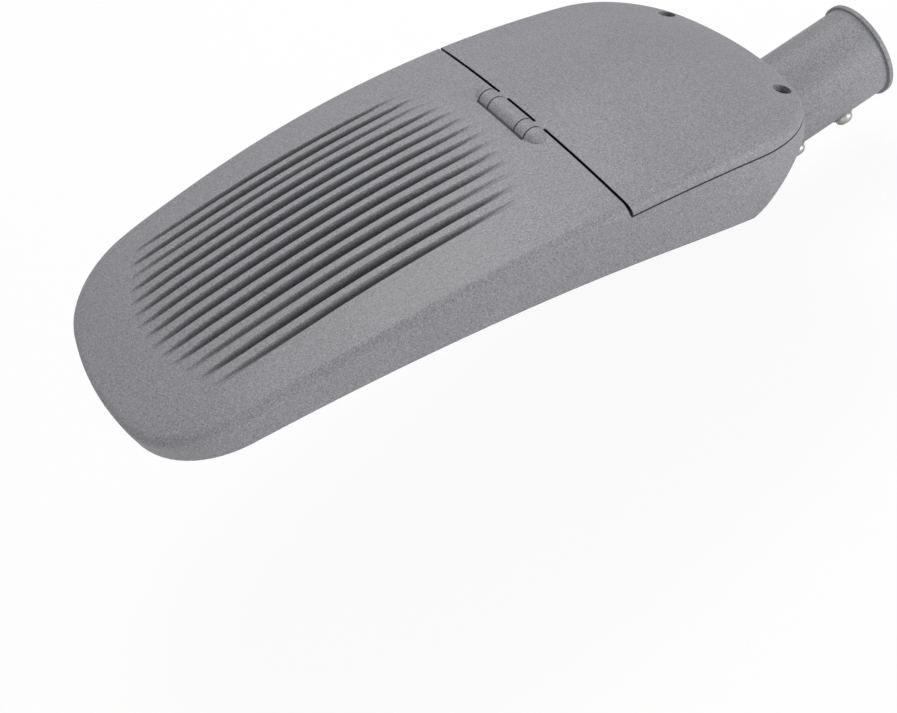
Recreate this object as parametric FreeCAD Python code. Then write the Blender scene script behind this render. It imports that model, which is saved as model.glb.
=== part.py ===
import math
import os

import FreeCAD
import Part

# Street light head. Millimetres, +Z up. The origin is the centre of the
# spigot mouth, +X runs along the bore and out of it, the nose is at -X.

# Plan outline of the head, as five tangent arcs on each side
NOSE_X = -586.0
REAR_X = -82.6
HALF_WIDTH = 126.5
WIDEST_X = -262.0
NOSE_ARC_R = 300.0
NOSE_CORNER_R = 70.0
SIDE_ARC_R = 2150.0
REAR_CORNER_R = 79.0
REAR_ARC_R = 288.0
WALL_DRAFT_DEG = 7.0

# Side profile of the top, along the middle of the head
APEX_X = -449.0
APEX_Z = 142.2
NOSE_DROP_X = -500.0
NOSE_DROP_R = 350.0
FRONT_ARCH_R = 2000.0
REAR_ARCH_R = 980.0
REAR_DROP_X = -165.0
REAR_DROP_R = 245.0
CROWN_R = 904.0
EDGE_FILLET_R = 7.0

# Side profile of the underside
BELLY_FLAT_X = -540.0
BELLY_Z = 108.3
BELLY_ARCH_R = 880.0
BELLY_SLOPE_DEG = 20.0
BELLY_STRAIGHT = 49.0
HEEL_ARCH_R = 596.0
HEEL_SLOPE_DEG = 14.5
BOWL_X = -198.7
BOWL_Z = 108.2
BOWL_R = 137.4
BELLY_FILLET_R = 4.0
OUTLINE_LEVEL = 124.6

# Cooling grooves across the top
GROOVE_COUNT = 14
GROOVE_PITCH = 12.15
GROOVE_MID_X = -416.0
GROOVE_HALF_LENGTH = 129.0
GROOVE_END_BOW = 21.0
GROOVE_FLARE_DEG = 13.5
GROOVE_FLOOR_WIDTH = 3.4
GROOVE_DEPTH = 8.0
GROOVE_DEPTH_OUTER = 5.2
GROOVE_DEPTH_THIRD = 4.6

# Spigot and neck
TUBE_R = 34.0
BORE_R = 30.5
RIM_R = 36.2
RIM_WIDTH = 3.0
BORE_DEPTH = 96.0
STOP_WALL = 8.0
NECK_END_X = -128.0
NECK_WALL = 6.0
NECK_TILT_DEG = 28.0
NECK_TAPER_DEG = 16.0
NECK_TIP_R = 2.5

# Clamp bolts on the lower flank of the spigot
CLAMP_BOLT_X = (-39.5, -83.0)
CLAMP_ANGLE_DEG = 45.0
CLAMP_BOLT_R = 4.0
CLAMP_PAD_R = 7.6
CLAMP_PAD_STAND = 0.7
CLAMP_HEAD_R = 6.7
CLAMP_HEAD_EDGE = 1.0
CLAMP_DOME_H = 3.6
CLAMP_CROWN_R = 3.6
CLAMP_TIP_IN = 1.4

# Gear compartment and its cover
SEAM_X = -260.2
SEAM_GAP = 2.0
LIP = 8.0
LIP_GAP = 0.8
COVER_SKIN = 3.6
COVER_FLANGE = 7.0
BAY_FRONT_X = -250.0
BAY_WALL = 7.5
BAY_FLOOR = 4.5
FOREBAY_X = -298.0
FOREBAY_ROOF = 7.0
FOREBAY_STEP_X = -284.0
FOREBAY_STEP = 10.0
GASKET_INSET = 2.5
GASKET_WIDTH = 4.0

# Cover hinge
HINGE_X = -268.0
HINGE_STAND = 4.6
BARREL_R = 8.0
BARREL_HALF = 17.2
KNUCKLE_WIDTH = 11.6
KNUCKLE_GAP = 0.4
HINGE_GAP = 0.6
PIN_R = 2.5
PIN_CLEARANCE = 0.05
PIN_GRIP = 4.4
ARM_DEPTH = 5.0

# Cover screws at the rear corners
COVER_SCREW_INSET = 9.3
COVER_SCREW_ANGLE = 20.0
SCREW_WELL_R = 6.3
SCREW_WELL_DEPTH = 6.0
SCREW_BOSS_R = 9.0
COVER_SCREW_R = 2.5
COVER_SCREW_LENGTH = 11.0
COVER_SCREW_HEAD_R = 4.6
COVER_SCREW_HEAD_H = 2.8
SCREW_HOLE_CLEARANCE = 0.4
SCREW_BOSS_CLEARANCE = 0.9
SCREW_BOSS_DEPTH = 12.0

# Bounds of the cutting forms, all outside the head
PAST_REAR_X = 60.0
PAST_SIDE_Y = 200.0
PAST_BOTTOM_Z = -60.0
PAST_TOP_Z = 220.0
PAST_LENGTH = 500.0

# Light window under the nose
WINDOW_X = -425.0
WINDOW_Z = 103.4
WINDOW_TILT_DEG = 4.5
FRAME_LENGTH = 240.0
FRAME_WIDTH = 190.0
FRAME_CORNER_R = 26.0
FRAME_H = 6.5
FRAME_CLEARANCE = 0.5
FRAME_BAND = 20.0
FRAME_OPENING_L = FRAME_LENGTH - 2 * FRAME_BAND
FRAME_OPENING_W = FRAME_WIDTH - 2 * FRAME_BAND
FRAME_OPENING_R = 10.0
GLASS_LAP = 6.0
GLASS_LENGTH = FRAME_OPENING_L + 2 * GLASS_LAP
GLASS_WIDTH = FRAME_OPENING_W + 2 * GLASS_LAP
GLASS_CORNER_R = 14.0
GLASS_CLEARANCE = 0.4
GLASS_SEAT = 1.0
GLASS_T = 4.0
LAMP_BAY_STEP = 1.0
LAMP_BAY_LENGTH = FRAME_OPENING_L - 2 * LAMP_BAY_STEP
LAMP_BAY_WIDTH = FRAME_OPENING_W - 2 * LAMP_BAY_STEP
LAMP_BAY_R = 12.0
LAMP_BAY_TOP = 20.0
BOARD_GAP = 4.0
BOARD_MARGIN = 5.0
BOARD_LENGTH = (LAMP_BAY_LENGTH - BOARD_GAP) / 2 - BOARD_MARGIN
BOARD_WIDTH = LAMP_BAY_WIDTH - 2 * BOARD_MARGIN
BOARD_T = 1.6
BOARD_SPACING = BOARD_LENGTH + BOARD_GAP
CHIP_SIZE = 3.5
CHIP_T = 0.7
LENS_R = 8.5
LENS_PITCH_X = 26.0
LENS_PITCH_Y = 20.0
LENS_PLATE_INSET = 1.0
LENS_PLATE_L = BOARD_LENGTH - 2 * LENS_PLATE_INSET
LENS_PLATE_W = BOARD_WIDTH - 2 * LENS_PLATE_INSET
LENS_ROWS = int((LENS_PLATE_L - 2 * LENS_R) / LENS_PITCH_X) + 1
LENS_COLUMNS = int((LENS_PLATE_W - 2 * LENS_R) / LENS_PITCH_Y) + 1
LENS_SCREW_INSET_X = 5.0
LENS_SCREW_INSET_Y = 4.0
LENS_SCREW_X = LENS_PLATE_L / 2 - LENS_SCREW_INSET_X
LENS_SCREW_Y = LENS_PLATE_W / 2 - LENS_SCREW_INSET_Y
LENS_SCREW_R = 1.5
LENS_SCREW_HEAD_R = 2.8
LENS_SCREW_HEAD_H = 1.8
LENS_SCREW_LENGTH = 10.0
LENS_PILLAR_R = 3.4
LENS_PLATE_T = 2.2
LENS_PLATE_STAND = 2.4
LENS_DOME_H = 3.2
LENS_TIP_R = 4.5
LENS_RIM_WIDTH = 2.5
FRAME_SCREW_INSET = 7.0
FRAME_SCREW_R = 2.0
FRAME_SCREW_LENGTH = 12.0
FRAME_SCREW_HEAD_R = 3.8
FRAME_SCREW_HEAD_H = 2.4

# Gear tray and what stands on it
TRAY_X = -184.0
TRAY_Z = 45.0
TRAY_TILT_DEG = 18.0
TRAY_LENGTH = 100.0
TRAY_WIDTH = 160.0
TRAY_CORNER_R = 10.0
TRAY_T = 2.0
TRAY_POST_R = 5.0
TRAY_POST_SINK = 60.0
TRAY_SCREW_INSET = 8.0
TRAY_SCREW_R = 2.0
TRAY_SCREW_LENGTH = 8.0
TRAY_SCREW_HEAD_R = 3.8
TRAY_SCREW_HEAD_H = 2.6
DRIVER_LENGTH = 116.0
DRIVER_WIDTH = 56.0
DRIVER_H = 31.0
DRIVER_X = -22.0
DRIVER_EDGE_R = 3.0
DRIVER_FOOT = 9.0
DRIVER_FOOT_T = 2.0
SURGE_LENGTH = 46.0
SURGE_WIDTH = 28.0
SURGE_H = 25.0
SURGE_X = 30.0
SURGE_Y = 44.0
TERMINAL_LENGTH = 48.0
TERMINAL_WIDTH = 22.0
TERMINAL_H = 19.0
TERMINAL_X = 28.0
TERMINAL_Y = -44.0
TERMINAL_POLES = 5
CORD_GRIP_LENGTH = 32.0
CORD_GRIP_WIDTH = 9.0
CORD_GRIP_BASE_H = 6.0
CORD_GRIP_BAR_H = 4.5
CORD_GRIP_X = 43.0
CORD_GRIP_Y = 2.0
CORD_GRIP_R = 4.0
CORD_GRIP_SCREW_Y = 11.5
SMALL_SCREW_R = 1.75
SMALL_SCREW_HEAD_R = 3.2
SMALL_SCREW_HEAD_H = 2.2
EARTH_SCREW_X = 24.0
EARTH_SCREW_Y = 2.0
EARTH_SCREW_R = 2.5
EARTH_WASHER_R = 6.0
EARTH_WASHER_T = 1.2
EARTH_HEAD_FLATS = 8.0
EARTH_HEAD_H = 3.5

# Lead passage between the gear compartment and the lamp bay
PASSAGE_R = 5.0
PASSAGE_Y = 40.0
PASSAGE_FROM_Z = 108.0
PASSAGE_TO_X = -331.0
PASSAGE_TO_Z = 109.0
GROMMET_FLANGE_R = 8.0
GROMMET_FLANGE_T = 2.5
GROMMET_DEPTH = 8.0
GROMMET_BORE_R = 3.0

# Cable gland in the stop wall
GLAND_THREAD_R = 10.0
GLAND_LENGTH = 9.0
GLAND_HEX_FLATS = 27.0
GLAND_HEX_H = 6.0
GLAND_CAP_R = 12.0
GLAND_CAP_H = 11.0
GLAND_BORE_R = 5.0
GLAND_NUT_H = 4.5


def vec(x, y, z):
    return FreeCAD.Vector(x, y, z)


def block(x0, x1, y0, y1, z0, z1):
    return Part.makeBox(x1 - x0, y1 - y0, z1 - z0, vec(x0, y0, z0))


def rod(radius, length, base, axis):
    return Part.makeCylinder(radius, length, base, axis)


def hex_prism(flats, height, base, axis):
    circle_r = flats / math.sqrt(3.0)
    turn = FreeCAD.Rotation(vec(0, 0, 1), axis)
    corners = []
    for i in range(7):
        a = math.radians(60.0 * i)
        corners.append(base + turn.multVec(vec(circle_r * math.cos(a), circle_r * math.sin(a), 0)))
    face = Part.Face(Part.makePolygon(corners))
    return face.extrude(axis * (height / axis.Length))


def round_plate(length, width, corner, z0, z1):
    plate = block(-length / 2, length / 2, -width / 2, width / 2, z0, z1)
    upright = [e for e in plate.Edges if abs(e.tangentAt(e.FirstParameter).z) > 0.99]
    return plate.makeFillet(corner, upright)


def joined(shapes):
    body = shapes[0]
    if len(shapes) > 1:
        body = body.fuse(shapes[1:])
    return body.removeSplitter()


# Plan outline

def circle_meeting(c1, r1, c2, r2, side):
    dx = c2[0] - c1[0]
    dy = c2[1] - c1[1]
    d = math.hypot(dx, dy)
    a = (r1 * r1 - r2 * r2 + d * d) / (2.0 * d)
    h = math.sqrt(r1 * r1 - a * a)
    mx = c1[0] + a * dx / d
    my = c1[1] + a * dy / d
    first = (mx - h * dy / d, my + h * dx / d)
    second = (mx + h * dy / d, my - h * dx / d)
    return max(first, second, key=lambda p: p[0] * side)


def outline_centres():
    nose = (NOSE_X + NOSE_ARC_R, 0.0)
    rear = (REAR_X - REAR_ARC_R, 0.0)
    flank = (WIDEST_X, HALF_WIDTH - SIDE_ARC_R)
    front_corner = circle_meeting(nose, NOSE_ARC_R - NOSE_CORNER_R, flank, SIDE_ARC_R - NOSE_CORNER_R, -1)
    back_corner = circle_meeting(rear, REAR_ARC_R - REAR_CORNER_R, flank, SIDE_ARC_R - REAR_CORNER_R, 1)
    return nose, front_corner, flank, back_corner, rear


def point_on(centre, radius, towards):
    dx = towards[0] - centre[0]
    dy = towards[1] - centre[1]
    d = math.hypot(dx, dy)
    return (centre[0] + radius * dx / d, centre[1] + radius * dy / d)


def outline_wire(inset, z):
    nose, front, flank, back, rear = outline_centres()
    r_nose = NOSE_ARC_R - inset
    r_front = NOSE_CORNER_R - inset
    r_flank = SIDE_ARC_R - inset
    r_back = REAR_CORNER_R - inset
    r_rear = REAR_ARC_R - inset
    joint_1 = point_on(nose, r_nose, front)
    joint_2 = point_on(flank, r_flank, front)
    joint_3 = point_on(flank, r_flank, back)
    joint_4 = point_on(rear, r_rear, back)
    tip_front = (nose[0] - r_nose, 0.0)
    tip_back = (rear[0] + r_rear, 0.0)
    mid_front = point_on(front, r_front, ((joint_1[0] + joint_2[0]) / 2, (joint_1[1] + joint_2[1]) / 2))
    mid_flank = (flank[0], flank[1] + r_flank)
    mid_back = point_on(back, r_back, ((joint_3[0] + joint_4[0]) / 2, (joint_3[1] + joint_4[1]) / 2))

    def up(p):
        return vec(p[0], p[1], z)

    def down(p):
        return vec(p[0], -p[1], z)

    edges = [
        Part.Arc(down(joint_1), up(tip_front), up(joint_1)).toShape(),
        Part.Arc(up(joint_1), up(mid_front), up(joint_2)).toShape(),
        Part.Arc(up(joint_2), up(mid_flank), up(joint_3)).toShape(),
        Part.Arc(up(joint_3), up(mid_back), up(joint_4)).toShape(),
        Part.Arc(up(joint_4), up(tip_back), down(joint_4)).toShape(),
        Part.Arc(down(joint_4), down(mid_back), down(joint_3)).toShape(),
        Part.Arc(down(joint_3), down(mid_flank), down(joint_2)).toShape(),
        Part.Arc(down(joint_2), down(mid_front), down(joint_1)).toShape(),
    ]
    return Part.Wire(edges)


def drafted_column(inset):
    # The plan outline is measured at OUTLINE_LEVEL and shrinks downwards
    level = OUTLINE_LEVEL
    top = 190.0
    bottom = -60.0
    spread = math.tan(math.radians(WALL_DRAFT_DEG))
    upper = outline_wire(inset - (top - level) * spread, top)
    lower = outline_wire(inset + (level - bottom) * spread, bottom)
    return Part.makeLoft([lower, upper], True, True)


# Side profiles

def top_arcs():
    # Each arc of the top line: its centre, its radius and its start and end angle from upright
    nose = ((APEX_X, NOSE_DROP_X, FRONT_ARCH_R), (NOSE_DROP_X, NOSE_X - 12.0, NOSE_DROP_R))
    rear = ((APEX_X, REAR_DROP_X, REAR_ARCH_R), (REAR_DROP_X, REAR_X + 14.0, REAR_DROP_R))
    arcs = []
    for way, steps in ((-1.0, nose), (1.0, rear)):
        z = APEX_Z
        slope = 0.0
        for start, end, radius in steps:
            cx = start - way * radius * math.sin(slope)
            cz = z - radius * math.cos(slope)
            steeper = math.asin(math.sin(slope) + abs(end - start) / radius)
            arcs.append((cx, cz, radius, way * slope, way * steeper))
            z = cz + radius * math.cos(steeper)
            slope = steeper
    return arcs


def crown_drop(y):
    return CROWN_R - math.sqrt(CROWN_R ** 2 - y * y)


def surface_z(x, y):
    # The crowned section is carried round each arc, so a point's own radius is the arc's less the drop
    near = []
    for cx, cz, radius, start, end in top_arcs():
        own = radius - crown_drop(y)
        if abs(x - cx) < own:
            angle = math.asin((x - cx) / own)
            outside = max(min(start, end) - angle, angle - max(start, end), 0.0)
            near.append((outside, cz + math.sqrt(own ** 2 - (x - cx) ** 2)))
    return min(near)[1]


def below_top(lower_by):
    wedges = []
    half = 150.0
    deep = 215.0
    crown = CROWN_R - lower_by
    sag = crown - math.sqrt(crown ** 2 - half ** 2)
    for cx, cz, radius, start, end in top_arcs():
        high = cz + radius - lower_by
        low = high - deep
        section = Part.Wire([
            Part.Arc(vec(cx, -half, high - sag), vec(cx, 0, high), vec(cx, half, high - sag)).toShape(),
            Part.makeLine(vec(cx, half, high - sag), vec(cx, half, low)),
            Part.makeLine(vec(cx, half, low), vec(cx, -half, low)),
            Part.makeLine(vec(cx, -half, low), vec(cx, -half, high - sag)),
        ])
        face = Part.Face(section)
        face.rotate(vec(cx, 0, cz), vec(0, 1, 0), math.degrees(min(start, end)))
        wedges.append(face.revolve(vec(cx, 0, cz), vec(0, 1, 0), math.degrees(abs(end - start))))
    return joined(wedges)


def belly_points():
    # A flat under the lamp, an arc to BELLY_SLOPE_DEG, a straight, and an arc back to HEEL_SLOPE_DEG
    slope = math.radians(BELLY_SLOPE_DEG)
    x1 = BELLY_FLAT_X + BELLY_ARCH_R * math.sin(slope)
    z1 = BELLY_Z - BELLY_ARCH_R * (1.0 - math.cos(slope))
    xm = BELLY_FLAT_X + BELLY_ARCH_R * math.sin(slope / 2)
    zm = BELLY_Z - BELLY_ARCH_R * (1.0 - math.cos(slope / 2))
    x2 = x1 + BELLY_STRAIGHT
    z2 = z1 - BELLY_STRAIGHT * math.tan(slope)
    heel = math.radians(HEEL_SLOPE_DEG)
    half = (slope + heel) / 2
    x3 = x2 + HEEL_ARCH_R * (math.sin(slope) - math.sin(heel))
    z3 = z2 - HEEL_ARCH_R * (math.cos(heel) - math.cos(slope))
    xh = x2 + HEEL_ARCH_R * (math.sin(slope) - math.sin(half))
    zh = z2 - HEEL_ARCH_R * (math.cos(half) - math.cos(slope))
    return (x1, z1), (xm, zm), (x2, z2), (xh, zh), (x3, z3)


def slab_from(x0, x1):
    return block(x0, x1, -PAST_SIDE_Y, PAST_SIDE_Y, PAST_BOTTOM_Z, PAST_TOP_Z)


def above_belly(raise_by):
    one, mid, two, bend, three = belly_points()

    def at(p):
        return vec(p[0], -PAST_SIDE_Y, p[1] + raise_by)

    far = NOSE_X - 60.0
    back = 20.0
    end = (back, three[1] - (back - three[0]) * math.tan(math.radians(HEEL_SLOPE_DEG)))
    edges = [
        Part.makeLine(at((far, BELLY_Z)), at((BELLY_FLAT_X, BELLY_Z))),
        Part.Arc(at((BELLY_FLAT_X, BELLY_Z)), at(mid), at(one)).toShape(),
        Part.makeLine(at(one), at(two)),
        Part.Arc(at(two), at(bend), at(three)).toShape(),
        Part.makeLine(at(three), at(end)),
        Part.makeLine(at(end), at((back, PAST_TOP_Z))),
        Part.makeLine(at((back, PAST_TOP_Z)), at((far, PAST_TOP_Z))),
        Part.makeLine(at((far, PAST_TOP_Z)), at((far, BELLY_Z))),
    ]
    return Part.Face(Part.Wire(edges)).extrude(vec(0, 2 * PAST_SIDE_Y, 0))


def bowl(inset):
    # The rear corners and the heel are rounded by one ball, which runs on forward as a tube
    radius = BOWL_R - inset
    centre = vec(BOWL_X, 0, BOWL_Z)
    return Part.makeSphere(radius, centre).fuse(rod(radius, PAST_LENGTH, centre, vec(-1, 0, 0)))


# Shape of the whole head

def middle_normal(face):
    u0, u1, v0, v1 = face.ParameterRange
    return face.normalAt((u0 + u1) / 2, (v0 + v1) / 2)


def turn_deg(body, edge):
    # The angle between the two faces that meet in the middle of an edge
    place = edge.valueAt((edge.FirstParameter + edge.LastParameter) / 2)
    faces = [f for f in body.Faces if any(edge.isSame(e) for e in f.Edges)]
    normals = [f.normalAt(*f.Surface.parameter(place)) for f in faces]
    if len(normals) < 2:
        return 0.0
    return math.degrees(normals[0].getAngle(normals[1]))


def creases(body, faces):
    edges = {e.hashCode(): e for f in faces for e in f.Edges}
    return [e for e in edges.values() if e.BoundBox.XLength > 3.0 and turn_deg(body, e) > 8.0]


def head_form():
    body = drafted_column(0.0).common(below_top(0.0)).common(above_belly(0.0)).common(bowl(0.0)).Solids[0]
    tops = [f for f in body.Faces if middle_normal(f).z > 0.5]
    edges = [e for f in tops for e in f.Edges]
    shared = [e.hashCode() for e in edges]
    rim = [e for e in edges if shared.count(e.hashCode()) == 1]
    body = body.makeFillet(EDGE_FILLET_R, rim)
    under = [f for f in body.Faces if middle_normal(f).z < -0.3 and f.CenterOfMass.z < OUTLINE_LEVEL]
    return body.makeFillet(BELLY_FILLET_R, creases(body, under))


def parting_centre():
    return vec(APEX_X, -PAST_SIDE_Y, APEX_Z - REAR_ARCH_R)


def parting_radius():
    return REAR_ARCH_R - crown_drop(HALF_WIDTH) - LIP


def above_parting(x_from, radius):
    slab = slab_from(x_from, PAST_REAR_X)
    return slab.cut(rod(radius, 2 * PAST_SIDE_Y, parting_centre(), vec(0, 1, 0)))


def groove_cutter(y, depth, half_length):
    x0 = GROOVE_MID_X - half_length
    x1 = GROOVE_MID_X + half_length
    z0 = surface_z(x0, y)
    z1 = surface_z(x1, y)
    zm = surface_z(GROOVE_MID_X, y) - depth
    # Circle through both ends at the surface and the deepest point of the floor
    a = (x1 - x0, z1 - z0)
    b = (GROOVE_MID_X - x0, zm - z0)
    d = 2.0 * (a[0] * b[1] - a[1] * b[0])
    aa = a[0] ** 2 + a[1] ** 2
    bb = b[0] ** 2 + b[1] ** 2
    cx = x0 + (b[1] * aa - a[1] * bb) / d
    cz = z0 + (a[0] * bb - b[0] * aa) / d
    radius = math.hypot(x0 - cx, z0 - cz)
    half = GROOVE_FLOOR_WIDTH / 2.0
    high = 13.0
    wide = half + high * math.tan(math.radians(GROOVE_FLARE_DEG))
    # The floor bulges up from a centre below it, or sags from one above
    side = math.copysign(1.0, zm - cz)
    z = cz + side * radius
    corners = [(y - half, z), (y + half, z), (y + wide, z + high), (y - wide, z + high), (y - half, z)]
    section = Part.makePolygon([vec(cx, across, up) for across, up in corners])
    start = math.degrees(math.atan2(side * (x0 - 6.0 - cx), side * (z0 - cz)))
    stop = math.degrees(math.atan2(side * (x1 + 6.0 - cx), side * (z1 - cz)))
    face = Part.Face(section)
    face.rotate(vec(cx, 0, cz), vec(0, 1, 0), start)
    return face.revolve(vec(cx, 0, cz), vec(0, 1, 0), stop - start)


def groove_cutters():
    cutters = []
    last = GROOVE_COUNT - 1
    for i in range(GROOVE_COUNT):
        y = (i - last / 2.0) * GROOVE_PITCH
        depth = GROOVE_DEPTH
        if i in (0, last):
            depth = GROOVE_DEPTH_OUTER
        if i in (2, last - 2):
            depth = GROOVE_DEPTH_THIRD
        bow = GROOVE_END_BOW * (i - last / 2.0) ** 2 / (last / 2.0) ** 2
        cutters.append(groove_cutter(y, depth, GROOVE_HALF_LENGTH - bow))
    return cutters


# Local places

def at_window(shape):
    placed = shape.copy()
    placed.rotate(vec(0, 0, 0), vec(0, 1, 0), WINDOW_TILT_DEG)
    placed.translate(vec(WINDOW_X, 0, WINDOW_Z))
    return placed


def at_tray(shape):
    placed = shape.copy()
    placed.rotate(vec(0, 0, 0), vec(0, 1, 0), TRAY_TILT_DEG)
    placed.translate(vec(TRAY_X, 0, TRAY_Z))
    return placed


def hinge_z():
    return surface_z(HINGE_X, 0.0) + HINGE_STAND - BARREL_R


def hinge_rod(radius, y0, y1):
    return rod(radius, y1 - y0, vec(HINGE_X, y0, hinge_z()), vec(0, 1, 0))


def knuckle_span():
    start = BARREL_HALF + KNUCKLE_GAP
    return start, start + KNUCKLE_WIDTH


def cover_screw_places():
    centre = outline_centres()[3]
    a = math.radians(COVER_SCREW_ANGLE)
    rough = surface_z(centre[0] + REAR_CORNER_R * math.cos(a), HALF_WIDTH / 2)
    shrink = (OUTLINE_LEVEL - rough) * math.tan(math.radians(WALL_DRAFT_DEG))
    reach = REAR_CORNER_R - shrink - COVER_SCREW_INSET
    x = centre[0] + reach * math.cos(a)
    y = centre[1] + reach * math.sin(a)
    z = surface_z(x, y)
    # The screw stands square to its own swing about the hinge
    away = vec(hinge_z() - z, 0, x - HINGE_X)
    away = away * (1.0 / away.Length)
    return [(vec(x, side * y, z), away) for side in (-1.0, 1.0)]


# Housing

def neck_toe(radius):
    # A ball at the bend, and a cone that leaves it at a tangent and rises into the underside
    tilt = math.radians(NECK_TILT_DEG)
    taper = math.radians(NECK_TAPER_DEG)
    way = vec(-math.cos(tilt), 0, math.sin(tilt))
    bend = vec(NECK_END_X, 0, 0)
    wide = radius * math.cos(taper)
    length = (wide - NECK_TIP_R) / math.tan(taper)
    cone = Part.makeCone(wide, NECK_TIP_R, length, bend + way * (radius * math.sin(taper)), way)
    return [Part.makeSphere(radius, bend), cone]


def clamp_way():
    a = math.radians(CLAMP_ANGLE_DEG)
    return vec(0, -math.sin(a), -math.cos(a))


def spigot_form():
    tube = rod(TUBE_R, -NECK_END_X, vec(NECK_END_X, 0, 0), vec(1, 0, 0))
    rim = rod(RIM_R, RIM_WIDTH, vec(-RIM_WIDTH, 0, 0), vec(1, 0, 0))
    pads = []
    for x in CLAMP_BOLT_X:
        pads.append(rod(CLAMP_PAD_R, TUBE_R + CLAMP_PAD_STAND, vec(x, 0, 0), clamp_way()))
    return joined([tube, rim] + neck_toe(TUBE_R) + pads)


def spigot_hollow():
    bore = rod(BORE_R, BORE_DEPTH + 1.0, vec(-BORE_DEPTH, 0, 0), vec(1, 0, 0))
    deep = -BORE_DEPTH - STOP_WALL
    inner = TUBE_R - NECK_WALL
    well = rod(inner, deep - NECK_END_X, vec(NECK_END_X, 0, 0), vec(1, 0, 0))
    gland_hole = rod(GLAND_THREAD_R, STOP_WALL + 2.0, vec(deep - 1.0, 0, 0), vec(1, 0, 0))
    nut_room = GLAND_NUT_H + 0.5
    recess = rod(GLAND_HEX_FLATS / 2.0 + 4.0, nut_room, vec(-BORE_DEPTH - nut_room, 0, 0), vec(1, 0, 0))
    hollows = [bore, well, gland_hole, recess] + neck_toe(inner)
    for x in CLAMP_BOLT_X:
        hollows.append(rod(CLAMP_BOLT_R, TUBE_R + 8.0, vec(x, 0, 0), clamp_way()))
    return hollows


def gear_bay():
    bay = drafted_column(BAY_WALL).common(slab_from(BAY_FRONT_X, PAST_REAR_X))
    return bay.common(above_belly(BAY_FLOOR)).common(bowl(BAY_FLOOR))


def fore_bay():
    # The compartment reaches forward under the hinge, below a thick roof that steps up in front
    roof = parting_radius() - FOREBAY_ROOF
    low = slab_from(FOREBAY_STEP_X, BAY_FRONT_X + 1.0)
    high = slab_from(FOREBAY_X, FOREBAY_STEP_X)
    low = low.common(rod(roof, 2 * PAST_SIDE_Y, parting_centre(), vec(0, 1, 0)))
    high = high.common(rod(roof + FOREBAY_STEP, 2 * PAST_SIDE_Y, parting_centre(), vec(0, 1, 0)))
    column = drafted_column(BAY_WALL).common(above_belly(BAY_FLOOR))
    return column.common(low.fuse(high))


def lead_passage():
    start = vec(FOREBAY_X, PASSAGE_Y, PASSAGE_FROM_Z)
    end = vec(PASSAGE_TO_X, PASSAGE_Y, PASSAGE_TO_Z)
    way = end - start
    way = way * (1.0 / way.Length)
    return start, way, (end - start).Length


def window_hollows():
    pocket = round_plate(FRAME_LENGTH + 2 * FRAME_CLEARANCE, FRAME_WIDTH + 2 * FRAME_CLEARANCE,
                         FRAME_CORNER_R + FRAME_CLEARANCE, -60.0, FRAME_H)
    bay = round_plate(LAMP_BAY_LENGTH, LAMP_BAY_WIDTH, LAMP_BAY_R, FRAME_H - 1.0, LAMP_BAY_TOP)
    holes = []
    for x, y in frame_screw_places():
        holes.append(rod(FRAME_SCREW_R, FRAME_SCREW_LENGTH + 1.0, vec(x, y, 0), vec(0, 0, 1)))
    for x, y in lens_screw_places():
        deep = LENS_SCREW_LENGTH - 5.0
        holes.append(rod(LENS_SCREW_R, deep, vec(x, y, LAMP_BAY_TOP - 1.0), vec(0, 0, 1)))
    return [at_window(s) for s in [pocket, bay] + holes]


def hinge_pocket():
    start, end = knuckle_span()
    radius = BARREL_R + HINGE_GAP
    wide = end + KNUCKLE_GAP
    cuts = [hinge_rod(radius, -wide, wide)]
    z = hinge_z()
    for side in (-1.0, 1.0):
        y0 = min(side * (start - KNUCKLE_GAP), side * wide)
        y1 = max(side * (start - KNUCKLE_GAP), side * wide)
        cuts.append(block(HINGE_X, SEAM_X + 1.0, y0, y1, z - radius, z + 30.0))
    return cuts


def hinge_barrel(head):
    z = hinge_z()
    barrel = hinge_rod(BARREL_R, -BARREL_HALF, BARREL_HALF)
    tongue = block(HINGE_X, SEAM_X, -BARREL_HALF, BARREL_HALF, z - BARREL_R - 3.0, z + 30.0).common(head)
    wide = knuckle_span()[1] + KNUCKLE_GAP
    ends = []
    for side in (-1.0, 1.0):
        # Half a ball closes each end of the barrel line
        ball = Part.makeSphere(BARREL_R, vec(HINGE_X, side * wide, z))
        beyond = side * (wide + 20.0)
        ends.append(ball.common(block(HINGE_X - 20.0, HINGE_X + 20.0, min(side * wide, beyond),
                                      max(side * wide, beyond), z - 20.0, z + 20.0)))
    return [barrel, tongue] + ends


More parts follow.
